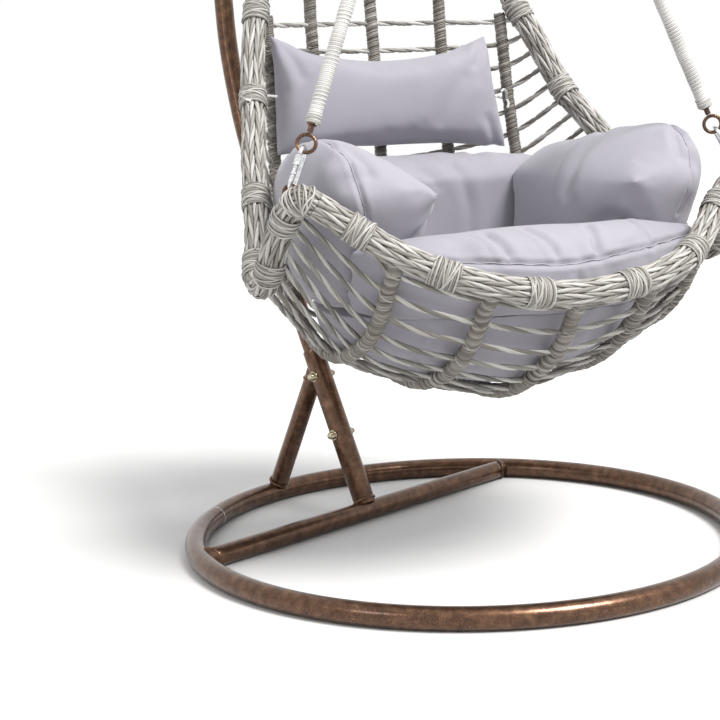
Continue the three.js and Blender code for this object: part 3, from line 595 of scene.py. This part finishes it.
TOPC_H = 54.0
TOPC_TOP = 1865.5 + 4.5 + 3.5 + 0.4
TOPC_BOT = TOPC_TOP - TOPC_H
carabiner("top_carabiner", "hang", (0, 0, TOPC_TOP - TOPC_H / 2), (0, 0, 1), (1, 0, 0), TOPC_H, 28.0, 3.5, ("top_link", "top_gate", "top_sleeve"))
SPR_TOP = TOPC_BOT + 3.5 + 3.4 + 0.4
SWIVEL_TOP, SWIVEL_Z = 1739.4, 1651.0
SPR_BOT = SWIVEL_TOP - 3 - 3.4 - 0.4
pts = []
zt, zb = SPR_TOP - 11, SPR_BOT + 11
for x in range(-45, 226, 27):
    pts.append((0, 11 * math.cos(math.radians(x)), zt + 11 * math.sin(math.radians(x))))
z1, z0 = zt - 17, zb + 17
for k in range(51):
    x = 2 * PI * 5 * k / 50
    pts.append((19 * math.sin(x), -19 * math.cos(x), z1 + (z0 - z1) * k / 50))
for x in range(225, -46, -27):
    pts.append((0, 11 * math.cos(math.radians(x)), zb - 11 * math.sin(math.radians(x))))
cv = Curve(catmull(pts, n=6))
acc = Acc()
acc.tube(cv.P, cv.N, 3.35, 3.35, 12)
spring = piece("tension_spring", acc, "hang", ZINC, None, "spring", "zinc_steel")
tuple(to_row([0, 0, zt - 8], "hang")[0])
tuple(to_row([0, 0, zb + 8], "hang")[0])
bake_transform(spring)
acc = Acc()
acc.torus((0, 0, SWIVEL_TOP - 9), (0, 1, 0), 9, 3, 40, 12)
acc.lathe((0, 0, 1698), (0, 0, 1723), [[5.2, 0], [10.6, 0], [11.4, 0.8], [11.5, 3], [11.5, 6.2], [11.1, 6.8], [11.1, 8.2], [11.5, 8.8], [11.5, 15], [9.4, 18], [6, 21], [4, 23.4], [0.1, 24]], 32)
acc.lathe((0, 0, 1698), (0, 0, 1723), [[9.4, 5], [5.2, 5], [5.2, 0]], 32)
piece("swivel_barrel", acc, "hang", ZINC, "swivel", "swivel_body", "zinc_steel", sharp=50)
acc = Acc()
acc.torus((0, 0, SWIVEL_Z + 20), (0, 1, 0), 20, 4, 56, 12)
acc.lathe((0, 0, 1690), (0, 0, 1710), [[0.1, 0], [4.4, 0], [4.4, 14], [8.2, 14.2], [8.4, 15], [8.4, 18.6], [8, 19.2], [0.1, 19.2]], 24)
piece("swivel_rod_ring", acc, "basket", ZINC, "basket", "swivel_ring", "zinc_steel", sharp=50)

# ---------------- woven basket frame ----------------
HALF = [[50, -313, 491], [110, -311, 498], [170, -300, 511.5], [230, -281, 530], [290, -241, 559.5], [350, -199.5, 601.5], [405, -170, 642], [425, -163, 654.5],
        [437, -152, 650], [445, -130, 628], [451, -97, 585], [455, -76, 542], [456, -62, 520], [452, -34, 506], [445, 6, 509], [437, 28, 530], [421, 60, 577],
        [400, 111, 640], [375, 178, 706], [353, 223, 757], [335, 268, 803], [318.5, 305, 862], [301, 335, 920], [280, 368, 980], [263, 391, 1040],
        [243, 400, 1105], [215, 389, 1178], [175, 355, 1252], [120, 301, 1325], [62, 248, 1380]]
LOOP = [[0, -314, 489]] + HALF + [[0, 226, 1401]] + [[-p[0], p[1], p[2]] for p in HALF[::-1]]
rimP = catmull(LOOP, closed=True, n=30)
rimP3 = np.vstack([rimP[:-1], rimP[:-1], rimP])  # three laps, so that a span may cross the start
rim = Curve(rimP3, ref=(0, 60, 800))
RL = rim.L / 3
one = Curve(rimP, ref=(0, 60, 800), closed=True)
sA, sB, sC = one.nearest((412, -168, 646)), one.nearest((445, 6, 509)), one.nearest((263, 391, 1040))
RC, PO, PR, PITCH = 18.0, 2.3, 2.95, 80.0


def braid(acc, curve, s0, s1, count=12, step=5.0, lap=0.0):
    n = max(4, int((s1 - s0) / step))
    s = np.linspace(s0, s1, n)
    P, N, B = curve.at(s)
    # The core tube under the strands gets tone 0.04, near black on the ramp: painted shade that fills the gaps between
    # the strands.
    acc.tube(P, N, 16.2, 16.2, 12, 0.04)
    g = np.random.default_rng(11)
    for k in range(count):
        th = 2 * PI * k / count
        n1, n2 = math.cos(th) * N + math.sin(th) * B, -math.sin(th) * N + math.cos(th) * B
        C = P + RC * n1
        ph, sign, pitch = g.uniform(0, 2 * PI), 1 if k % 2 else -1, PITCH * g.uniform(0.9, 1.12)
        t0 = g.uniform(0.80, 1.0)
        for q, tone in ((0, t0), (PI, t0 - g.uniform(0.22, 0.46))):
            phi = ph + q + sign * 2 * PI * (s + lap) / pitch
            r = np.cos(phi)[:, None] * n1 + np.sin(phi)[:, None] * n2
            wob = 1 + 0.05 * np.sin(s / 17.0 + 3 * k + q)
            acc.tube(C + PO * r, r, PR * 0.9 * wob, PR * 1.25 * wob, 6, tone, s0=3.1 * k + q)


def binding(acc, curve, sc, width=44.0, R=23.9, turns=13, cross=3, seed=0):
    g = np.random.default_rng(100 + seed)
    n = turns * 20
    t = np.linspace(0, 1, n)
    s = sc - width / 2 + width * t + 0.5 * np.sin(t * turns * 2 * PI * 0.37 + seed)
    th = 2 * PI * turns * t + g.uniform(0, 6)
    P, N, B = curve.at(s)
    r = np.cos(th)[:, None] * N + np.sin(th)[:, None] * B
    R_ = R + 0.6 * np.sin(th * 0.73 + seed)
    acc.tube(P + R_[:, None] * r, r, 1.2, 1.8, 6, 0.70 + 0.20 * np.sin(th * 0.43 + seed), s0=seed)
    for k in range(cross):
        n = 40
        t = np.linspace(0, 1, n)
        s = sc + (width * 0.46) * (2 * t - 1) * (1 if k % 2 else -1)
        th = g.uniform(0, 6.28) + g.uniform(1.6, 2.9) * PI * t
        P, N, B = curve.at(s)
        r = np.cos(th)[:, None] * N + np.sin(th)[:, None] * B
        acc.tube(P + (R + 1.5) * r, r, 1.0, 1.7, 6, g.uniform(0.8, 0.98), s0=seed + 9)


spans = {"front_rim": (RL - sA, RL + sA, "front_rim"), "right_arm": (RL + sA, RL + sB, "right_arm_tube"), "right_rail_weave": (RL + sB, RL + sC, "right_rail"),
         "arch": (RL + sC, 2 * RL - sC, "top_arch"), "left_rail_weave": (2 * RL - sC, 2 * RL - sB, "left_rail"), "left_arm": (2 * RL - sB, 2 * RL - sA, "left_arm_tube")}
BIND = [0.0235, 0.0640, 0.1027, 0.1310, 0.1437, 0.1690, 0.2015, 0.2363, 0.2995, 0.3475, 0.395, 0.445]
bind_at = sorted([RL * (1 + u) for u in BIND] + [RL * (2 - u) for u in BIND] + [RL * (1 - u) for u in BIND])
for nme, (s0, s1, node) in spans.items():
    acc = Acc()
    braid(acc, rim, s0, s1)
    for k, b in enumerate(bind_at):
        if s0 <= b < s1:
            binding(acc, rim, b, seed=k, width=44 if not (0.125 < min(b / RL % 1, 1 - b / RL % 1) < 0.18) else 34, turns=13 if not (0.125 < min(b / RL % 1, 1 - b / RL % 1) < 0.18) else 10)
    piece(nme + "_braid", acc, "basket", BRAID, "basket", node, "wicker_braid")

RIB = {
    "mid": [[0, -296.5, 470], [0, -277, 446], [0, -260, 419], [0, -229, 382], [0, -177, 343], [0, -124, 311], [0, -75, 291], [0, -24, 279], [0, 41, 274],
            [0, 120, 280], [0, 200, 303], [0, 280, 345], [0, 345, 410], [0, 390, 500], [0, 415, 610], [0, 428, 720], [0, 438, 820], [0, 446, 900], [0, 455, 970],
            [0, 460, 1040], [0, 452, 1120], [0, 425, 1200], [0, 375, 1280], [0, 305, 1350], [0, 259, 1382]],
    "in": [[160, -284.5, 489], [159, -262, 466], [157, -235, 432], [155, -200, 396], [154, -155, 361], [153, -100, 333], [152, -45, 315], [152, 10, 307],
           [152, 70, 308], [151, 140, 318], [150, 210, 342], [149, 280, 388], [147, 335, 455], [145, 372, 540], [143, 395, 640], [142, 410, 740], [142, 420, 840],
           [142, 427, 920], [142, 432, 980], [140, 432, 1050], [137, 420, 1130], [132, 392, 1210], [126, 350, 1278], [122, 326, 1301]],
    "out": [[303, -227.5, 543], [302, -219, 528], [301, -198, 503], [300, -173, 466], [299, -140, 432], [298, -100, 403], [297, -55, 383], [296, -10, 370],
            [294, 50, 364], [291, 110, 373], [288, 165, 392], [284, 215, 425], [279, 262, 475], [274, 297, 540], [269, 325, 620], [264, 345, 700], [259, 357, 780],
            [256, 368, 860], [255, 378, 925], [254, 381, 952]]}
RIBS = [("rib_1", "out", -1), ("rib_2", "in", -1), ("rib_3", "mid", 1), ("rib_4", "in", 1), ("rib_5", "out", 1)]
HEART = (0, 60, 680)
ribs = [Curve(catmull([[s * p[0], p[1], p[2]] for p in RIB[k]]), ref=HEART) for _, k, s in RIBS]
ROWS, TOP_Z, UPPER = 25, 945.0, [1005, 1065, 1125, 1185, 1245]


def s_at_height(c, z):
    i = int(0.6 * len(c.s))
    while i < len(c.s) - 1 and c.P[i][2] < z:
        i += 1
    return c.s[i]


cross_s, crossing = [], []
for i, c in enumerate(ribs):
    ss = list(np.linspace(10, s_at_height(c, TOP_Z), ROWS))
    if 0 < i < 4:
        ss += [s_at_height(c, z) for z in UPPER]
    cross_s.append(ss)
    crossing.append(c.at(ss)[0])


def wrapped(acc, curve, s0, s1, R, starts=4, lead=19.0, seed=0, taper_to=None, core=True, m=6, per=14, lay=None, tones=(0.42, 0.86)):
    """A rod wrapped in flat strand: several strands side by side in a helix."""
    g = np.random.default_rng(300 + seed)
    n = max(8, int((s1 - s0) / lead * per))
    s = np.linspace(s0, s1, n)
    P, N, B = curve.at(s)
    Rv = np.full(n, float(R)) if taper_to is None else R + (taper_to - R) * np.clip((s - s0) / (s1 - s0) * 1.6 - 0.3, 0, 1)
    # The core under the wraps gets tone 0.08, near black on the ramp: painted shade that fills the gaps between the
    # strands.
    if core:
        k = slice(None, None, 6)
        q = np.r_[np.arange(0, n, 6), n - 1]
        acc.tube(P[q], N[q], Rv[q] - 1.5, Rv[q] - 1.5, 10, 0.08)
    for k in range(starts):
        ph = 2 * PI * k / starts
        th = 2 * PI * s / lead + ph + 0.22 * np.sin(s / 31.0 + seed + 2 * k) + 0.12 * np.sin(s / 9.0 + 1.7 * seed)
        r = np.cos(th)[:, None] * N + np.sin(th)[:, None] * B
        lift = 0.45 * np.sin(s / 23.0 + 2.1 * k + seed) + 0.25 * np.sin(s / 7.3 + k)
        t0 = g.uniform(*tones)
        tone = t0 + 0.10 * np.sin(s / 47.0 + 5 * k) + 0.06 * np.sin(s / 13.0)
        width = (lay or lead / starts) * 0.56
        acc.tube(P + (Rv - 0.3 + lift)[:, None] * r, r, 1.25, width, m, tone, s0=1.3 * k + seed)


def knot(acc, curve, s0, R, seed):
    """The strand ends cross over the outside of the rib."""
    g = np.random.default_rng(700 + seed)
    for k in range(2):
        t = np.linspace(0, 1, 15)
        w = g.uniform(7, 11)
        s = s0 + w * (2 * t - 1) * (1 if k else -1) + g.uniform(-2, 2)
        th = math.radians(g.uniform(112, 140)) * (2 * t - 1) + g.uniform(-0.3, 0.3)
        P, N, B = curve.at(s)
        r = np.cos(th)[:, None] * N + np.sin(th)[:, None] * B
        acc.tube(P + (R + 1.35 - 2.6 * np.abs(2 * t - 1) ** 4)[:, None] * r, r, 1.0, 1.75, 6, g.uniform(0.7, 0.95), s0=seed)


for i, (nme, key, sgn) in enumerate(RIBS):
    acc = Acc()
    c = ribs[i]
    c = Curve(np.vstack([c.P[0] - 13 * c.T[0], c.P, c.P[-1] + 9 * c.T[-1]]), ref=HEART)
    wrapped(acc, c, 0, c.L, 12.6, starts=5, lead=18.0, seed=i, taper_to=11.2)
    for k, s0 in enumerate(cross_s[i]):
        if 2 < s0 < c.L - 30:
            knot(acc, c, s0 + 13, 12.3 if k < 16 else 11.3, 40 * i + k)
    piece(f"{nme}_wrap", acc, "basket", WRAP, "basket", nme, "wicker_wrap")

marks = [(0, one.nearest((338, -207, 593))), (1, one.nearest((441, -141, 640))), (7, one.nearest((456, -62, 520))), (8, one.nearest((450, -20, 505))), (ROWS - 1, one.nearest((288, 356, 958)))]
rim_ends = []
for k in range(ROWS):
    j = 0
    while j < len(marks) - 2 and k > marks[j + 1][0]:
        j += 1
    f = (k - marks[j][0]) / (marks[j + 1][0] - marks[j][0])
    rim_ends.append(one.at([marks[j][1] + f * (marks[j + 1][1] - marks[j][1])])[0][0])
rim_ends = np.array(rim_ends)
flip = np.array([-1, 1, 1])


def arch_at(z):
    i = int(np.argmin(abs(one.s - sC)))
    while one.P[i][2] < z and one.s[i] < RL / 2:
        i += 1
    return one.P[i]


upper_end = np.array([arch_at(z - 6) for z in UPPER])


def twist(acc, P, r=3.2, off=2.15, pitch=84.0, seed=0, step=5.5):
    """A twisted pair of strands along the points P."""
    g = np.random.default_rng(900 + seed)
    L = np.r_[0, np.cumsum(np.linalg.norm(np.diff(P, axis=0), axis=1))]
    n = max(5, int(L[-1] / step))
    s = np.linspace(0, L[-1], n)
    C = np.stack([np.interp(s, L, P[:, k]) for k in range(3)], -1)
    c = Curve(C, ref=HEART)
    ph, t0, pitch = g.uniform(0, 6.28), g.uniform(0.82, 1.0), pitch * g.uniform(0.85, 1.15)
    for q, tone in ((0, t0), (PI, t0 - g.uniform(0.28, 0.5))):
        phi = ph + q + 2 * PI * s / pitch
        d = np.cos(phi)[:, None] * c.N + np.sin(phi)[:, None] * c.B
        acc.tube(C + off * d, d, r * 0.95, r * 1.22, 6, tone, s0=seed + q)


nets = {k: Acc() for k in ("left_side_net", "left_net", "centre_left_net", "centre_right_net", "right_net", "right_side_net")}
for k in range(ROWS + len(UPPER)):
    if k < ROWS:
        K = [rim_ends[k] * flip] + [crossing[i][k] for i in range(5)] + [rim_ends[k]]
        names = list(nets)
    else:
        u = k - ROWS
        K = [upper_end[u] * flip] + [crossing[i][k] for i in (1, 2, 3)] + [upper_end[u]]
        names = ["left_net", "centre_left_net", "centre_right_net", "right_net"]
    K = np.array(K)
    wob = np.random.default_rng(50 + k)
    line_ = catmull(K, n=24)
    for q, nm in enumerate(names):
        P = line_[q * 24:(q + 1) * 24 + 1]
        twist(nets[nm], P, seed=k * 7 + q)
for nm, acc in nets.items():
    piece(nm + "_strands", acc, "basket", BRAID, "basket", nm, "wicker_braid")

# ---------------- arm eyes, rings and rods ----------------
RINGC, RING_N = np.array([402, -119.5, 742.0]), unit([0.56, 0.82, 0.12])
ring_n = {}
for nm, s in (("left", -1), ("right", 1)):
    base, u = np.array([s * 439, -147, 646.0]), unit([s * 0.02, 0.46, 0.888])
    rc = RINGC * [s, 1, 1]
    bow = base + u * 35
    down = unit(bow - rc)
    ring_n[nm] = unit(RING_N - down * RING_N.dot(down))
    T, Bp = rc + down * (15.2 - 3.2 - 3.6 - 1.2), bow - u * (3.2 + 3.6 + 1.6)
    up_ = unit(T - Bp)
    R = Matrix.Rotation(s * 0.2, 3, Vector(up_))
    side = np.array(R @ Vector(-ring_n[nm]))
    side = unit(side - up_ * side.dot(up_))
    across = unit(np.cross(u, side))
    acc = Acc()
    u_eye(acc, base + u * 10, u, across, 11, 3.2, 14)
    piece(f"{nm}_arm_eye_bar", acc, "basket", BRONZE, "basket", f"{nm}_arm_eye", "bronze_paint")
    carabiner(f"{nm}_carabiner", "basket", (T + Bp) / 2, up_, side, float(np.linalg.norm(T - Bp)), 30.0, 3.6, ("basket", f"{nm}_gate", f"{nm}_sleeve"))
APEX, apex_up = np.array([0, 226, 1401.0]), unit([0, -0.62, 0.785])
acc = Acc()
u_eye(acc, APEX + apex_up * 10, apex_up, (1, 0, 0), 10, 3.5, 24)
piece("top_eye_bar", acc, "basket", BRONZE, "basket", "top_eye", "bronze_paint")
BACKC = APEX + apex_up * 52.3
for k, (nm, s) in enumerate((("left", -1), ("right", 1), ("back", 0))):
    ra = s * 0.62
    e = np.array([0, 0, SWIVEL_Z + 20]) + np.array([math.sin(ra), 0, -math.cos(ra)]) * 21.3
    rc = RINGC * [s, 1, 1] if s else BACKC
    d = unit(rc - e)
    a_, b_ = e + d * 30, rc - d * 19.4
    w_ = b_ - d * 14
    c = Curve(line(a_, w_, 60))
    acc = Acc()
    # tones 0.9 to 1.0 keep the rod strands at the light end of their ramp: painted light.
    wrapped(acc, c, 0, c.L, 11.0, starts=2, lead=6.6, seed=20 + k, per=14, tones=(0.9, 1.0))
    for s0 in (9.0, c.L - 9.0):
        binding(acc, c, s0, width=15, R=11.9, turns=5, cross=0, seed=60 + k)
    piece(f"{nm}_rod_wrap", acc, "basket", ROD_WRAP_PAINTED_LIGHT, "basket", f"{nm}_rod", "wicker_wrap")
    acc = Acc()
    L = float(np.linalg.norm(b_ - (w_ - d * 4)))
    acc.lathe(w_ - d * 4, b_, [[0.1, 0], [8.6, 0], [9, 0.8], [9, 5.2], [7.6, 6.4], [5, 7.2], [5, L - 1], [4.2, L], [0.1, L]], 24)
    acc.lathe(e + d * 8.6, a_ + d * 4, [[0.1, 0], [3.6, 0], [3.6, 17], [6.5, 19], [9, 20], [9, 25], [0.1, 25.4]], 24)
    acc.torus(e, (math.cos(ra), 0, math.sin(ra)), 9.2, 2.9, 36, 12)
    piece(f"{nm}_rod_ends", acc, "basket", BRONZE, "basket", (), "bronze_paint", sharp=50)
    acc = Acc()
    acc.torus(rc, ring_n[nm] if s else (1, 0, 0), 15.2, 3.2, 48, 12)
    piece(f"{nm}_rod_ring_loop", acc, "basket", BRONZE, "basket", f"{nm}_rod_ring", "bronze_paint")


# ---------------- cushions ----------------
def mesh_arrays(me):
    V = np.empty(len(me.vertices) * 3, np.float32)
    me.vertices.foreach_get("co", V)
    return V.reshape(-1, 3).astype(float)


def evaluated(ob):
    dg = bpy.context.evaluated_depsgraph_get()
    me = bpy.data.meshes.new_from_object(ob.evaluated_get(dg))
    return me


def swap(ob, me):
    old = ob.data
    ob.modifiers.clear()
    ob.data = me
    bpy.data.meshes.remove(old)


def relax(me, V, times, f=0.5):
    E = np.empty(len(me.edges) * 2, np.int32)
    me.edges.foreach_get("vertices", E)
    E = E.reshape(-1, 2)
    deg = np.bincount(E.ravel(), minlength=len(V)).astype(float)[:, None]
    for _ in range(times):
        S = np.zeros_like(V)
        np.add.at(S, E[:, 0], V[E[:, 1]])
        np.add.at(S, E[:, 1], V[E[:, 0]])
        V = V + f * (S / deg - V)
    return V


def normals(me):
    N = np.empty(len(me.vertices) * 3, np.float32)
    me.vertex_normals.foreach_get("vector", N)
    return N.reshape(-1, 3).astype(float)


def put(me, V):
    me.vertices.foreach_set("co", V.astype(np.float32).ravel())
    me.update()


def puff(ob, pressure=4.0, cap=0.016, grow=-0.03, frames=20, bend=0.6, limit=None):
    """Cloth under pressure, gravity off, with the movement of each point capped."""
    me = ob.data
    before = mesh_arrays(me)
    md = ob.modifiers.new("cloth", "CLOTH")
    st = md.settings
    st.quality, st.mass = 5, 0.3
    st.tension_stiffness = st.compression_stiffness = 12
    st.shear_stiffness, st.bending_stiffness = 4, bend
    st.use_pressure, st.uniform_pressure_force = True, pressure
    st.shrink_min = grow
    st.air_damping = 2
    st.effector_weights.gravity = 0
    md.collision_settings.use_collision = md.collision_settings.use_self_collision = False
    md.point_cache.frame_start, md.point_cache.frame_end = 1, frames
    for f in range(1, frames + 1):
        bpy.context.scene.frame_set(f)
    after_me = evaluated(ob)
    after = mesh_arrays(after_me)
    bpy.context.scene.frame_set(1)
    ob.modifiers.clear()
    bpy.data.meshes.remove(after_me)
    d = after - before
    L = np.linalg.norm(d, axis=1, keepdims=True)
    d = d * np.minimum(1, cap / np.maximum(L, 1e-9))
    put(me, before + d)


def subdivide(ob, levels=1):
    md = ob.modifiers.new("sub", "SUBSURF")
    md.levels = md.render_levels = levels
    swap(ob, evaluated(ob))


def crease(me, paths, thread=None, where="basket"):
    """paths: (points, depth mm, half width mm, lip mm, pucker mm, reach mm). Presses a fold or a seam into the surface."""
    V, N = mesh_arrays(me), normals(me)
    tree = BVHTree.FromPolygons([tuple(v) for v in V], [tuple(p.vertices) for p in me.polygons])
    moved = np.zeros(len(V))
    lines = []
    for n_, (pts, depth, half, lip, pucker, reach) in enumerate(paths):
        P = to_row(catmull(pts, n=12), where)
        hit = [tree.find_nearest(Vector(p)) for p in P]
        Q = np.array([h[0] if h[0] is not None else p for h, p in zip(hit, P)])
        c = Curve(Q)
        s = np.linspace(0, c.L, max(8, int(c.L / 0.003)))
        Q = c.at(s)[0]
        lines.append(Q)
        R = max(half * 3, reach * 2.2) / 1000
        near = np.where((V > Q.min(0) - R).all(1) & (V < Q.max(0) + R).all(1))[0]
        if not len(near):
            continue
        D = np.linalg.norm(V[near][:, None] - Q[None], axis=2)
        k = D.argmin(1)
        d = D[np.arange(len(near)), k] * 1000
        along = s[k] * 1000
        fade = np.clip(np.minimum(along, c.L * 1000 - along) / 18.0, 0.0, 1) if pucker == 0 else 1.0
        g = np.exp(-(d / half) ** 2)
        h = -depth * g * fade + lip * np.exp(-((d - 2.2 * half) / (1.1 * half)) ** 2) * fade
        if pucker:
            w = np.sin(along / 11.0 + 1.6 * np.sin(along / 29.0 + n_)) * (0.6 + 0.4 * np.sin(along / 53.0 + n_))
            h = h + pucker * w * np.exp(-((d - half) / reach) ** 2) * np.clip(d / half - 0.2, 0, 1)
        moved[near] += h
    put(me, V + N * (moved / 1000.0)[:, None])
    return lines


def welt(name, lines, r=1.0):
    acc = Acc()
    for Q in lines:
        c = Curve(Q * 1000)
        acc.tube(c.P, c.N, r, r, 6)
    V, F = np.vstack(acc.V), np.vstack(acc.F)
    me = bpy.data.meshes.new(name)
    me.from_pydata((V / 1000).tolist(), [], F.tolist())
    me.polygons.foreach_set("use_smooth", [True] * len(me.polygons))
    me.materials.append(THREAD)
    o = bpy.data.objects.new(name, me)
    bpy.context.scene.collection.objects.link(o)
    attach(o, "basket")
    return o


def on_surface(me, lines, lift=0.0004):
    V = mesh_arrays(me)
    tree = BVHTree.FromPolygons([tuple(v) for v in V], [tuple(p.vertices) for p in me.polygons])
    out = []
    for Q in lines:
        R = []
        for q in Q:
            h = tree.find_nearest(Vector(q))
            R.append(np.array(h[0]) + np.array(h[1]) * lift if h[0] is not None else q)
        R = np.array(R)
        for _ in range(6):
            R[1:-1] = 0.25 * R[:-2] + 0.5 * R[1:-1] + 0.25 * R[2:]
        out.append(R)
    return out


def wavy(me, amp, scale, seed):
    """Broad soft unevenness of a stuffed pad."""
    from mathutils import noise
    V, N = mesh_arrays(me), normals(me)
    off = Vector((seed * 3.7, seed * 1.9, seed * 5.1))
    h = np.array([noise.noise(Vector(v) * scale + off) for v in V])
    put(me, V + N * (amp * h)[:, None])


def cushion(node, name, ob=None, voxel=0.009, inset=0.009, smooth=14, pressure=4.0, cap=0.018, grow=-0.03, folds=(), seams=(), seed=1, waves=0.004):
    if ob is None:
        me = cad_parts[node].data.copy()
        me.transform(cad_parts[node].matrix_world)
        ob = bpy.data.objects.new(name, me)
        bpy.context.scene.collection.objects.link(ob)
        md = ob.modifiers.new("r", "REMESH")
        md.mode, md.voxel_size = "VOXEL", voxel
        swap(ob, evaluated(ob))
        V = mesh_arrays(ob.data) - normals(ob.data) * inset
        put(ob.data, relax(ob.data, V, smooth))
    ob.name = name
    puff(ob, pressure, cap, grow)
    put(ob.data, relax(ob.data, mesh_arrays(ob.data), 2))
    subdivide(ob)
    wavy(ob.data, waves, 9.0, seed)
    if folds:
        crease(ob.data, folds)
    lines = crease(ob.data, seams) if seams else []
    ob.data.polygons.foreach_set("use_smooth", [True] * len(ob.data.polygons))
    ob.data.materials.clear()
    ob.data.materials.append(CLOTH)
    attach(ob, "basket")
    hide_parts(node)
    if lines:
        welt(name + "_seam", on_surface(ob.data, lines))
    return ob


def pillow(name, nu=74, nv=30):
    """Two panels joined round the edge, in the curve of the basket's back; the corners stand out, the edges pull in."""
    V, F, idx = [], [], {}
    for side in (1, -1):
        for i in range(nu + 1):
            for j in range(nv + 1):
                u, v = 2 * i / nu - 1, 2 * j / nv - 1
                edge = i in (0, nu) or j in (0, nv)
                if edge and side == -1:
                    idx[(side, i, j)] = idx[(1, i, j)]
                    continue
                f, g = (u + 1) / 2, (v + 1) / 2
                x = (1 - g) * (-270 + f * 494) + g * (-272 + f * 464)
                z = (1 - g) * (700 - f * 3) + g * (924 - f * 6)
                x -= 5 * u * (1 - v * v)
                z += -max(v, 0) * 9 * (1 - u * u) - max(v, 0) ** 2 * 22 * (1 - u * u) - 3 * (1 - u * u)
                t = 48 * ((1 - u ** 4) * (1 - v * v)) ** 0.5
                y = 350 - 34 * ((x + 25) / 245) ** 2 + 0.06 * (z - 804)
                idx[(side, i, j)] = len(V)
                V.append((x, y - side * t, z))
    for side in (1, -1):
        for i in range(nu):
            for j in range(nv):
                q = [idx[(side, i, j)], idx[(side, i + 1, j)], idx[(side, i + 1, j + 1)], idx[(side, i, j + 1)]]
                F.append(q if side == 1 else q[::-1])
    me = bpy.data.meshes.new(name)
    me.from_pydata(to_row(V, "basket").tolist(), [], F)
    me.validate()
    ob = bpy.data.objects.new(name, me)
    bpy.context.scene.collection.objects.link(ob)
    return ob


def both(paths):
    return [([[-x, y, z] for x, y, z in p[0]], *p[1:]) for p in paths]


cushion("seat_cushion", "seat_pad", voxel=0.010, inset=0.003, smooth=8, cap=0.012, seed=1,
        folds=[([[-230, -190, 430], [-200, -120, 380], [-190, -20, 350]], 5, 12, 1.5, 0, 0), ([[60, -250, 430], [60, -200, 385], [70, -120, 345]], 4, 10, 1.2, 0, 0)])
cushion("front_bolster", "front_pad", inset=0.004, smooth=7, cap=0.016, seed=2,
        seams=[([[-300, -190, 540], [-220, -225, 548], [-110, -250, 538], [0, -258, 530], [110, -250, 538], [220, -225, 550], [310, -185, 556]], 5, 4.5, 1.4, 3.4, 24)],
        folds=[([[-120, -180, 585], [-108, -232, 562], [-100, -255, 535]], 8, 8, 2.5, 0, 0), ([[-40, -170, 585], [-20, -235, 560], [-16, -258, 530]], 5, 7, 2, 0, 0),
               ([[92, -170, 585], [70, -235, 560], [64, -258, 530]], 6, 7, 2, 0, 0), ([[180, -150, 585], [190, -220, 556], [200, -240, 530]], 5, 7, 2, 0, 0),
               ([[20, -258, 520], [24, -262, 500], [30, -262, 480]], 5, 8, 2, 0, 0), ([[-180, -240, 540], [-190, -245, 505], [-200, -240, 480]], 5, 9, 2, 0, 0)])
side_folds = [([[255, -60, 700], [235, -85, 660], [225, -110, 610], [230, -140, 570]], 6, 10, 2.5, 0, 0), ([[330, 60, 740], [270, 40, 705], [220, 20, 660], [190, 10, 600]], 5, 14, 2, 0, 0),
              ([[345, -90, 748], [320, -120, 720], [300, -150, 670]], 5, 9, 2, 0, 0), ([[195, 60, 640], [185, 100, 590], [182, 120, 520]], 4, 12, 1.5, 0, 0)]
side_seams = [([[330, 200, 712], [345, 110, 728], [352, 20, 748], [348, -60, 756], [338, -118, 738], [330, -140, 690], [318, -148, 640], [310, -140, 590]], 4.5, 4.5, 1.2, 2.6, 22)]
cushion("left_bolster", "left_pad", inset=0.006, smooth=26, cap=0.018, seed=3, folds=both(side_folds), seams=both(side_seams))
cushion("right_bolster", "right_pad", inset=0.005, smooth=20, cap=0.02, seed=4, folds=side_folds[1:3], seams=side_seams)
cushion("back_cushion", "back_pad", inset=0.006, cap=0.02, seed=5,
        folds=[([[60, 262, 700], [75, 250, 650], [92, 247, 590], [96, 247, 520]], 5, 12, 1.5, 0, 0), ([[-20, 262, 700], [0, 250, 660], [30, 247, 620]], 4, 12, 1.5, 0, 0)],
        seams=[([[-240, 290, 690], [-120, 300, 696], [0, 305, 697], [120, 300, 696], [240, 290, 690]], 4, 4.5, 1.2, 2.4, 22)])
cushion("head_pillow", "head_pillow_pad", ob=pillow("head_pillow_pad"), pressure=5.0, cap=0.011, grow=-0.05, seed=6, waves=0.002,
        folds=[([[130, 300, 850], [90, 302, 800], [60, 302, 740]], 3, 16, 1.5, 0, 0), ([[-262, 318, 915], [-235, 305, 870], [-222, 300, 830]], 4, 9, 1.5, 0, 0), ([[212, 325, 705], [180, 310, 735], [160, 300, 770]], 4, 9, 1.5, 0, 0),
               ([[184, 330, 910], [160, 310, 875], [140, 304, 845]], 4, 8, 1.5, 0, 0)])

acc = Acc()


def tie(points, width=2.6, twist_=0.0):
    c = Curve(catmull(points, n=10), ref=(0, 0, 800))
    acc.tube(c.P, c.N, 0.7, width, 8)


for sx, x0, x1, zt in ((-1, -272, -322, 812), (1, 212, 232, 796)):
    if sx < 0:
        tie([[x0 + 4, 312, zt], [x0 - 16, 318, zt + 2], [-296, 312, zt - 1], [-312, 300, zt - 3], [-330, 285, zt - 2]])
        tie([[-336, 262, zt + 8], [-344, 250, zt + 2], [-350, 244, zt - 8], [-356, 250, zt - 14]])
        tie([[-334, 258, zt - 2], [-345, 246, zt - 4], [-356, 246, zt - 2], [-364, 252, zt + 3]])
    else:
        tie([[x0 + 2, 330, zt], [224, 346, zt + 1], [238, 358, zt - 1], [252, 364, zt - 4]])
        tie([[250, 352, zt - 4], [246, 346, zt + 8], [238, 342, zt + 14], [232, 342, zt + 10]])
        tie([[250, 352, zt - 4], [250, 344, zt - 14], [246, 342, zt - 22]])
tape = fabric("tie_tape", (0.62, 0.61, 0.60), (0.50, 0.49, 0.48))
o = piece("pillow_ties", acc, "basket", tape, "basket", (), "cushion_fabric")
